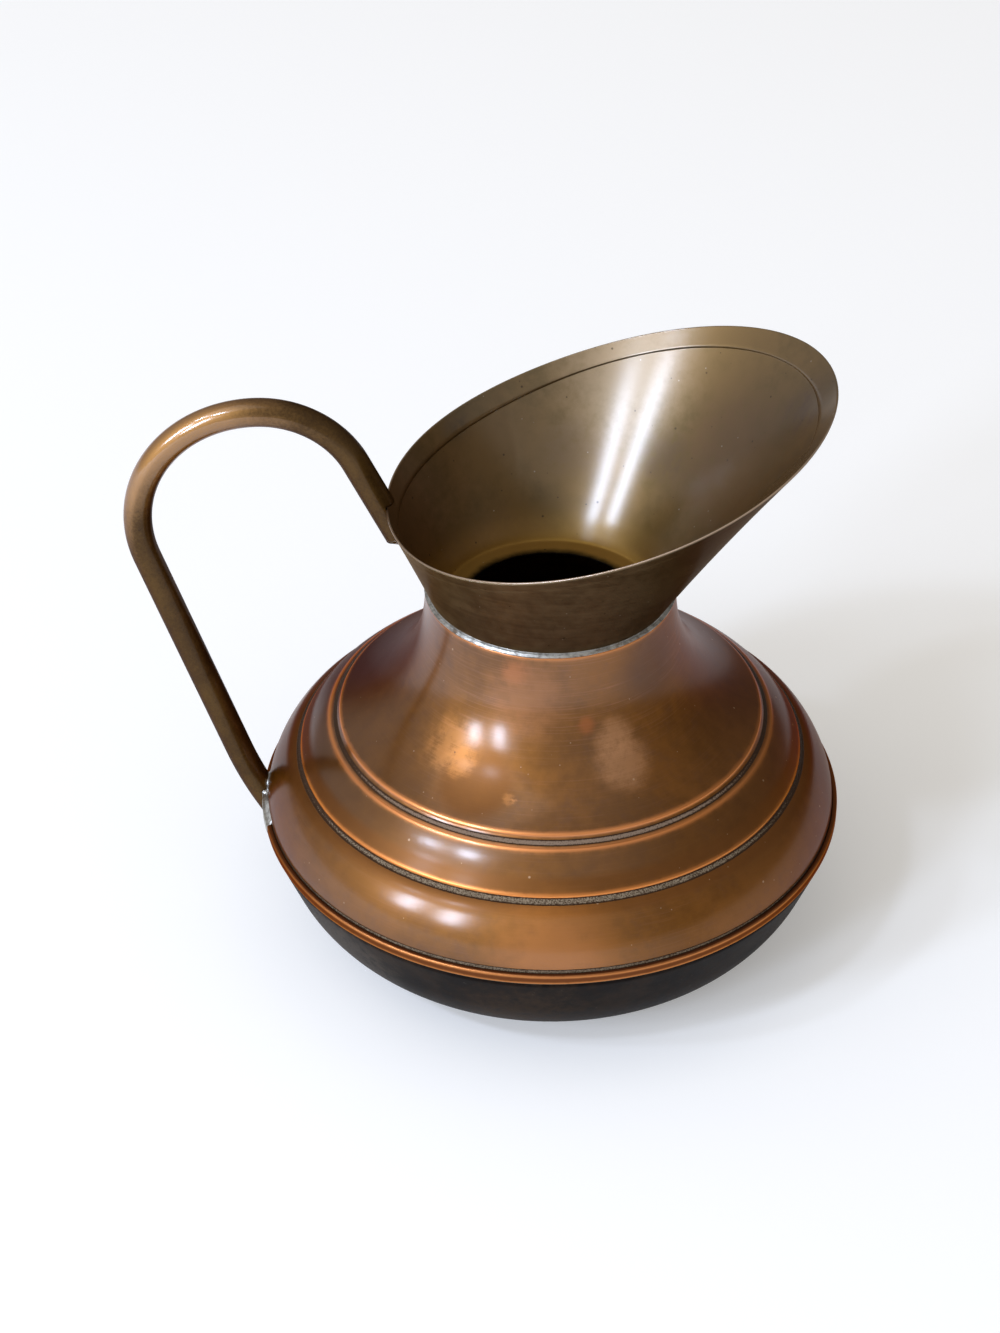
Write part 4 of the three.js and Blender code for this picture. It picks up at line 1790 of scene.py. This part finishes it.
    def onto(self, points: Array, above: float) -> Array:
        """The points moved level with themselves to a distance above the cone's outside.

        Args:
            points: Places in millimetres.
            above: Distance to stand off.

        Returns:
            The moved points.
        """
        moved = points.copy()
        height, _, reach = self.seen_by(points)
        scale = (self.radius(height) + above) / reach
        moved[..., 0] = (points[..., 0] - self.lean * height) * scale + self.lean * height
        moved[..., 1] *= scale
        return moved

    def facing(self, points: Array) -> Array:
        """Direction square to the cone at points on it."""
        height, angle, _ = self.seen_by(points)
        return self.square_to(angle, height)


# The handle

@dataclass(frozen=True)
class Bend:
    """A stretch of the tube's centre line: its length, and how far it turns in degrees."""

    length: float
    turn: float = 0.0


def bend(radius: float, turn: float) -> Bend:
    """A round bend of a radius, turning by an angle in degrees."""
    return Bend(radius * math.radians(turn), turn)


@dataclass
class Handle:
    """A round tube in the plane of the spout, straight legs and bends in turn."""

    vessel: Vessel
    spout: Spout
    radius: float = 4.5
    wall: float = 1.1
    columns: int = 56
    rows: int = 420
    foot_at: Flat = (-104.2, 62.0)
    foot_leg: float = 5.5
    foot_curve: Bend = bend(130.0, 10.2)
    back_leg: Bend = Bend(80.5)
    back_lean: float = 17.7
    back_bend: Bend = bend(40.7, 107.1)
    front_bend: Bend = bend(32.3, 65.2)
    front_leg: float = 29.5
    notch_past_rim: float = 1.2
    fit: float = 0.03
    foot_search: float = 45.0
    top_search: float = 60.0
    worn_at: float = 0.635
    worn_over: float = 0.155
    worn_and_lit_outside: float = 0.20

    def bends(self) -> list[Bend]:
        """The stretches from the foot to the spout."""
        foot, front = Bend(self.foot_leg), Bend(self.front_leg)
        return [foot, self.foot_curve, self.back_leg, self.back_bend, self.front_bend, front]

    def length(self) -> float:
        """Length of the centre line."""
        return sum(part.length for part in self.bends())

    def line(self, along: Array) -> tuple[Array, Array]:
        """Centre line and direction at distances along the tube.

        The heading changes evenly within each stretch. The place is the running sum of short
        steps in that heading, set so that the curve starts where foot_at says.

        Args:
            along: Distances from the foot's end.

        Returns:
            Places and headings, where a heading is the angle from +Z towards -X in radians.
        """
        parts = self.bends()
        ends, turned = summed([part.length for part in parts]), summed([part.turn for part in parts])
        fine = np.linspace(-10.0, self.length() + 10.0, 8001)
        start = self.back_lean + self.foot_curve.turn
        heading = np.radians(start - np.interp(fine, ends, turned))
        step = fine[1] - fine[0]
        middle = (heading[1:] + heading[:-1]) / 2
        east, north = summed(-np.sin(middle) * step), summed(np.cos(middle) * step)
        anchor = ends[2]
        east += self.foot_at[0] - np.interp(anchor, fine, east)
        north += self.foot_at[1] - np.interp(anchor, fine, north)
        place = np.stack([np.interp(along, fine, east), 0 * along, np.interp(along, fine, north)], axis=-1)
        return place, np.interp(along, fine, heading)

    def surface(self, along: Array, angle: Array, radius: float) -> Array:
        """Points round the centre line: cosine towards its outer side and sine towards +Y.

        Args:
            along: Distances along the tube.
            angle: Directions round it.
            radius: Distance from its middle.

        Returns:
            The points.
        """
        place, heading = self.line(along)
        outer = np.stack([-np.cos(heading), 0 * heading, -np.sin(heading)], axis=-1)
        side = np.array([0.0, 1.0, 0.0])
        return place + radius * (np.cos(angle)[..., None] * outer + np.sin(angle)[..., None] * side)

    def cut(self, angle: Array, radius: float) -> tuple[Array, Array]:
        """Where the tube's wall starts on the copper and where it ends on the spout.

        Args:
            angle: Directions round the tube.
            radius: Radius of the tube's outside or of its bore.

        Returns:
            Distance along the tube of both ends for each direction.
        """
        low = shares(0.0, self.foot_search, 1200)
        gap = self.vessel.outside_by(self.surface(low + 0 * angle, angle + 0 * low, radius)) - self.fit
        last = np.where(gap < 0, low, 0.0).max(axis=0)
        high = shares(self.length() - self.top_search, self.length(), 2400)
        points = self.surface(high + 0 * angle, angle + 0 * high, radius)
        side = self.spout.outside_by(points) - self.fit
        over = self.spout.above_rim(points) - self.notch_past_rim
        first = np.where((side < 0) & (over < 0), high, self.length()).min(axis=0)
        return last, first

    def patch(self) -> Patch:
        """The tube from end to end, outside first and then back through its bore.

        Returns:
            The skin with its mark.
        """
        angle = around(self.columns)
        outer_start, outer_end = self.cut(angle, self.radius)
        bore_start, bore_end = self.cut(angle, self.radius - self.wall)
        share = shares(0.0, 1.0, self.rows)
        out = self.surface(outer_start + (outer_end - outer_start) * share, angle + 0 * share, self.radius)
        back = share[::-4]
        bore_along = bore_start + (bore_end - bore_start) * back
        bore = self.surface(bore_along, angle + 0 * back, self.radius - self.wall)
        along = share * self.length()
        # Where the hand wears the bend golden, more on its outer side, where it is partly a painted
        # highlight.
        held = bell(along - self.worn_at * self.length(), self.worn_over * self.length())
        worn = held * (1 - self.worn_and_lit_outside + self.worn_and_lit_outside * np.cos(angle))
        marks = {"worn": np.vstack([worn, np.zeros(bore.shape[:2])])}
        return Patch(np.vstack([out, bore]), rows_close=True, marks=marks)


# Solder

class Skin(Protocol):
    """A sheet that solder can lie on."""

    def facing(self, points: Array) -> Array:
        """Direction square to the sheet at points on it."""

    def onto(self, points: Array, above: float) -> Array:
        """The points moved level with themselves to a distance above the sheet."""


@dataclass
class Fillet:
    """Solder in the corner between the end of the tube and the sheet under it."""

    handle: Handle
    size: Flat = (1.0, 1.3)
    hollow: float = 0.22
    sunk: float = 0.12
    lifted: float = 0.02
    rows: int = 160
    across: int = 9

    def section(self, angle: Array, cut: Array, ahead: float, skin: Skin, swell: Array) -> Array:
        """Closed sections along the cut edge: up the tube, in a hollow curve, onto the sheet.

        Args:
            angle: Directions round the tube.
            cut: Distance along the tube of its cut edge, in each direction.
            ahead: A short way along the tube that leads away from the sheet.
            skin: The sheet.
            swell: How large the solder is at each point, one being its usual size.

        Returns:
            A grid with a row for each point of the edge.
        """
        tube = self.handle
        edge = tube.surface(cut, angle, tube.radius)
        up = (tube.surface(cut + ahead, angle, tube.radius) - edge) / abs(ahead)
        facing = skin.facing(edge)
        away = np.cross(facing, unit(np.gradient(edge, axis=0)))
        away *= np.sign(((edge - edge.mean(axis=0)) * away).sum(axis=1, keepdims=True))
        on_tube = edge + up * (self.size[0] * swell)[:, None]
        on_sheet = skin.onto(edge + away * (self.size[1] * swell)[:, None], self.lifted)
        corner = edge + (self.hollow * (on_tube - edge) + self.hollow * (on_sheet - edge))
        start, bent, end = on_tube[:, None], corner[:, None], on_sheet[:, None]
        t = shares(0.0, 1.0, self.across)[None]
        curve = (1 - t) ** 2 * start + 2 * t * (1 - t) * bent + t * t * end
        under = edge - facing * (self.sunk * swell)[:, None]
        return np.concatenate([curve, under[:, None]], axis=1)


@dataclass
class FootSolder:
    """Solder round the foot of the tube and the patch that ran along the seam beside it."""

    fillet: Fillet
    swell: Wavy = Wavy(21, 2, 12, 0.35, 1.0)
    patch_azimuth: float = 188.0
    patch_z: float = 44.3
    patch_size: Flat = (9.5, 3.4)
    patch_height: float = 0.45
    patch_sunk: float = 0.15
    patch_softening: float = 1.2
    patch_edge: Wavy = Wavy(31, 2, 9, 0.16, 1.0)
    patch_columns: int = 96
    patch_rows: int = 24

    def ring(self) -> Patch:
        """The closed ring of solder round the cut end of the tube.

        Returns:
            The ring's skin.
        """
        tube = self.fillet.handle
        angle = around(self.fillet.rows)
        start, _ = tube.cut(angle, tube.radius)
        grid = self.fillet.section(angle, start, 0.5, tube.vessel, self.swell.at(angle))
        return Patch(grid, rows_close=True)

    def smear(self) -> Patch:
        """A low patch of solder that lies on the lip of the seam: a hump over an oval.

        Returns:
            The patch's skin.
        """
        angle = around(self.patch_columns)
        share = shares(0.0, 1.0, self.patch_rows)
        front = self.patch_height * np.sqrt(np.clip(1 - share**2, 0.0, 1.0)) + 0 * angle
        back = 0 * front - self.patch_sunk
        grid = np.vstack([self.over(share, angle, front), self.over(share[::-1], angle, back)])
        return Patch(grid, pole_first=True, pole_last=True)

    def over(self, share: Array, angle: Array, above: Array) -> Array:
        """Points of the patch at shares of its size from its middle, above the softened skin.

        Args:
            share: Shares of the size.
            angle: Directions round the middle.
            above: Height over the skin.

        Returns:
            The points.
        """
        vessel = self.fillet.handle.vessel
        ragged = self.patch_edge.at(angle)
        sideways = self.patch_size[0] * share * ragged * np.cos(angle)
        height = self.patch_z + self.patch_size[1] * share * ragged * np.sin(angle)
        azimuth = math.radians(self.patch_azimuth) + sideways / vessel.bowl.seam.radius
        skin = vessel.reach(height)
        steps = np.linspace(-self.patch_softening, self.patch_softening, 9)
        softened = np.mean([vessel.reach(height + step) for step in steps], axis=0)
        reach = np.where(above > 0, np.maximum(softened, skin), skin) + above
        return ringed(reach, azimuth, height)

    def patches(self) -> list[Patch]:
        """The ring and the smear."""
        return [self.ring(), self.smear()]


@dataclass
class TopSolder:
    """Solder along the end of the tube on the spout, below the rim."""

    fillet: Fillet
    swell: Wavy = Wavy(41, 2, 9, 0.3, 0.8)
    below_rim: float = 0.8
    tapered: float = 1 / 8

    def patches(self) -> list[Patch]:
        """One run of solder that starts and ends in a point where the cut meets the rim.

        Returns:
            Its one skin.
        """
        tube = self.fillet.handle
        fine = np.linspace(0.0, 2 * math.pi, 1441)[:-1]
        _, end = tube.cut(fine, tube.radius)
        below = tube.spout.above_rim(tube.surface(end, fine, tube.radius)) < -self.below_rim
        low_side = fine[below] if below.any() else fine
        angle = np.linspace(low_side.min(), low_side.max(), self.fillet.rows)
        _, end = tube.cut(angle, tube.radius)
        share = np.linspace(0.0, 1.0, self.fillet.rows)
        taper = np.sqrt(np.clip(np.minimum(share, 1 - share) / self.tapered, 0.0, 1.0))
        swell = taper * self.swell.at(share * 2 * math.pi)
        grid = self.fillet.section(angle, end, -0.5, tube.spout, swell)
        return [Patch(grid, pole_first=True, pole_last=True)]


@dataclass
class NeckSolder:
    """The silver line where the spout stands on the neck."""

    sheet: Sheet
    spout: Spout
    neck_radius: float = 40.45
    neck_top: float = 127.2
    low: Wavy = Wavy(51, 2, 30, 0.25, 0.22)
    high: Wavy = Wavy(52, 3, 26, 0.30, 0.35)
    bulge: Wavy = Wavy(53, 3, 40, 0.1, 0.20)
    thinning: Flat = (0.45, 0.40)
    rows: int = 14

    def patches(self) -> list[Patch]:
        """A rounded bead with an uneven edge on the copper and on the brass.

        Returns:
            Its one skin.
        """
        spout = self.spout
        angle = around(self.sheet.columns)
        turn = shares(0.0, 1.0, self.rows)
        bottom = self.neck_top - np.maximum(self.low.at(angle), 0.05)
        slim = self.thinning[0] - self.thinning[1] * np.cos(angle)
        top = spout.joint_z + 0.15 + slim * np.maximum(0.2 + self.high.at(angle), 0.05)
        height = bottom + (top - bottom) * turn
        above = np.maximum(height - spout.joint_z, 0.0)
        cone = spout.radius(above)
        face = np.maximum(np.where(height < self.neck_top + 0.3, self.neck_radius, 0.0), cone)
        outer = face + 0.03 + self.bulge.at(angle) * np.sin(turn * math.pi) ** 0.6
        inner = np.where(height < self.neck_top, self.neck_radius - 0.2, cone - 0.15)
        sides = [
            np.stack([side * np.cos(angle) + spout.lean * above, side * np.sin(angle), height], axis=-1)
            for side in (outer, inner)
        ]
        return [Patch(np.vstack([sides[0], sides[1][::-1]]), rows_close=True)]


@dataclass
class SeamSolder:
    """The fillet inside the girth seam that makes the fold watertight."""

    sheet: Sheet
    seam: Seam
    rise: Wavy = Wavy(61, 3, 30, 0.15, 0.75)
    hollow: float = 0.42
    rows: int = 10

    def patches(self) -> list[Patch]:
        """A hollow fillet whose height waves round the seam.

        Returns:
            Its one skin.
        """
        wall = self.seam.radius - self.sheet.thickness - self.sheet.clearance
        middle = self.seam.flange_z[0] + 0.15
        angle = around(self.sheet.columns)
        turn = shares(-1.0, 1.0, self.rows)
        front = ringed(wall - self.hollow * (1 - turn**2), angle, middle + self.rise.at(angle) * turn)
        back = ringed(wall, angle, middle)
        return [Patch(np.vstack([front, back[None]]), rows_close=True)]


# The studio

@dataclass(frozen=True)
class Lamp:
    """A rectangular lamp with a soft edge that looks at a point of the pitcher."""

    name: str
    azimuth: float
    elevation: float
    size: Flat
    radiance: float
    tint: Colour = (1.0, 1.0, 1.0)
    distance: float = 3400.0
    aim: Place = (0.0, 0.0, 90.0)

    def place(self) -> bpy.types.Object:
        """Hangs the lamp. Its power is the radiance times pi times its area in square metres.

        Returns:
            The lamp's object.
        """
        width, height = (side * MM for side in self.size)
        light = bpy.data.lights.new(self.name, "AREA")
        light.shape = "RECTANGLE"
        light.size = width
        light.size_y = height
        light.color = self.tint
        light.energy = self.radiance * math.pi * width * height
        thing = put_in_scene(self.name, light)
        azimuth, elevation = math.radians(self.azimuth), math.radians(self.elevation)
        level = math.cos(elevation)
        away = Vector((math.cos(azimuth) * level, math.sin(azimuth) * level, math.sin(elevation)))
        thing.location = (Vector(self.aim) + away * self.distance) * MM
        thing.rotation_euler = away.to_track_quat("Z", "Y").to_euler()
        return thing


@dataclass
class Studio:
    """Pale floor, a soft surrounding that is brighter on one side, lamps and the camera."""

    camera_at: Place = (-8.66, -744.23, 633.40)
    tilt: float = 35.892
    roll: float = -0.554
    heading: float = 0.6
    focal_pixels: float = 2800.0
    frame_height: float = 1333.0
    sensor: float = 36.0
    floor_half: float = 14000.0
    floor_colour: Colour = (0.820, 0.820, 0.815)
    bright_side: Place = (-0.55, -0.55, 0.63)
    dim: float = 0.18
    bright: float = 0.60
    fade: Slope = (-0.75, 0.75)
    floor_glow: float = 0.25
    air: Colour = (1.0, 0.94, 0.86)
    cool: Colour = (0.73, 0.85, 1.08)

    def camera(self) -> bpy.types.Object:
        """The camera where the photograph was taken from.

        Returns:
            The camera's object.
        """
        lens = bpy.data.cameras.new("camera")
        lens.sensor_width = self.sensor
        lens.lens = self.focal_pixels / self.frame_height * self.sensor
        lens.clip_start = 0.01
        lens.clip_end = 50.0
        thing = put_in_scene("camera", lens)
        turn = Matrix.Rotation(math.radians(self.heading), 4, "Z")
        lean = Matrix.Rotation(math.radians(90.0 - self.tilt), 4, "X")
        roll = Matrix.Rotation(math.radians(self.roll), 4, "Z")
        thing.matrix_world = Matrix.Translation(Vector(self.camera_at) * MM) @ turn @ lean @ roll
        bpy.context.scene.camera = thing
        return thing

    def floor(self) -> bpy.types.Object:
        """A wide pale floor just under the base.

        Returns:
            The floor's object.
        """
        half = self.floor_half * MM
        under = -0.05 * MM
        corners = [(-half, -half, under), (half, -half, under), (half, half, under), (-half, half, under)]
        mesh = bpy.data.meshes.new("floor")
        mesh.from_pydata(corners, [], [(0, 1, 2, 3)])
        thing = put_in_scene("floor", mesh)
        material, graph = new_material("floor_paint")
        paint = graph.add("ShaderNodeBsdfDiffuse", {}, {"Color": (*self.floor_colour, 1.0)})
        rays = graph.add("ShaderNodeLightPath")
        shown_to = ("Is Camera Ray", "Is Glossy Ray", "Is Transmission Ray")
        seen = graph.most(*(rays.beside(kind) for kind in shown_to))
        glow = graph.add("ShaderNodeEmission", {}, {"Strength": seen * self.floor_glow})
        both = graph.add("ShaderNodeAddShader", {}, {0: paint, 1: glow})
        graph.add("ShaderNodeOutputMaterial", {}, {"Surface": both})
        mesh.materials.append(material)
        return thing

    def surrounding(self) -> None:
        """A world that fades from its bright side to its dim side, the same for every ray."""
        world = bpy.data.worlds.new("surrounding")
        world.use_nodes = True
        bpy.context.scene.world = world
        graph = Graph(world.node_tree)
        direction = graph.add("ShaderNodeTexCoord", output="Generated")
        axis = Vector(self.bright_side).normalized()
        towards = graph.vector("DOT_PRODUCT", direction, tuple(axis))
        level = self.dim + (self.bright - self.dim) * graph.smooth(towards, *self.fade)
        shade = graph.add("ShaderNodeBackground", {}, {"Color": (*self.air, 1.0), "Strength": level})
        graph.add("ShaderNodeOutputWorld", {}, {"Surface": shade})

    def lamps(self) -> list[Lamp]:
        """Two windows side by side, two smaller lamps over them and a wide soft one above.

        Returns:
            The lamps, not yet hung.
        """
        return [
            Lamp("window_left", -146.5, 23.5, (400.0, 1050.0), 28.0, self.cool),
            Lamp("window_right", -128.5, 23.5, (400.0, 1050.0), 28.0, self.cool),
            Lamp("high_left", -154.0, 43.5, (220.0, 220.0), 75.0, self.cool),
            Lamp("high_right", -136.0, 48.5, (280.0, 280.0), 70.0, self.cool),
            Lamp("soft_top", -150.0, 62.0, (2300.0, 2300.0), 0.8),
        ]

    def build(self) -> None:
        """Sets up the camera, the floor, the surrounding and the lamps."""
        self.camera()
        self.floor()
        self.surrounding()
        for lamp in self.lamps():
            lamp.place()
        bpy.context.scene.view_settings.view_transform = "Standard"


def build_pitcher() -> list[bpy.types.Object]:
    """Builds every piece of the pitcher, in the order in which the real one is put together.

    Returns:
        The pieces' objects.
    """
    finishes = Finishes()
    sheet, seam = Sheet(), Seam()
    bowl = LowerBowl(sheet, seam)
    body = UpperBody(sheet, seam, Dents())
    spout = Spout(sheet)
    vessel = Vessel(bowl, body)
    handle = Handle(vessel, spout)
    fillet = Fillet(handle)
    copper, sooted = finishes.copper.material(), finishes.sooted.material()
    brass, tube = finishes.spout.material(), finishes.handle.material()
    solder = finishes.solder.material()
    pieces = [
        Piece("bowl_sheet", "lower_bowl", Slot.SOOTED, sooted, [bowl.patch()]),
        Piece("body_sheet", "upper_body", Slot.COPPER, copper, [body.patch()]),
        Piece("seam_fillet", "seam_solder", Slot.SOLDER, solder, SeamSolder(sheet, seam).patches()),
        Piece("spout_sheet", "spout", Slot.SPOUT, brass, [spout.patch()]),
        Piece("neck_bead", "neck_solder", Slot.SOLDER, solder, NeckSolder(sheet, spout).patches()),
        Piece("handle_tube", "handle", Slot.HANDLE, tube, [handle.patch()]),
        Piece("foot_fillet", "handle_foot_solder", Slot.SOLDER, solder, FootSolder(fillet).patches()),
        Piece("top_fillet", "handle_top_solder", Slot.SOLDER, solder, TopSolder(fillet).patches()),
    ]
    return [piece.place() for piece in pieces]


def main() -> None:
    """Loads the frame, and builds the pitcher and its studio."""
    logging.basicConfig(level=logging.INFO, format="%(name)s: %(message)s")
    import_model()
    pieces = build_pitcher()
    LOG.info("%d pieces", len(pieces))
    Studio().build()


if __name__ == "__main__":
    main()
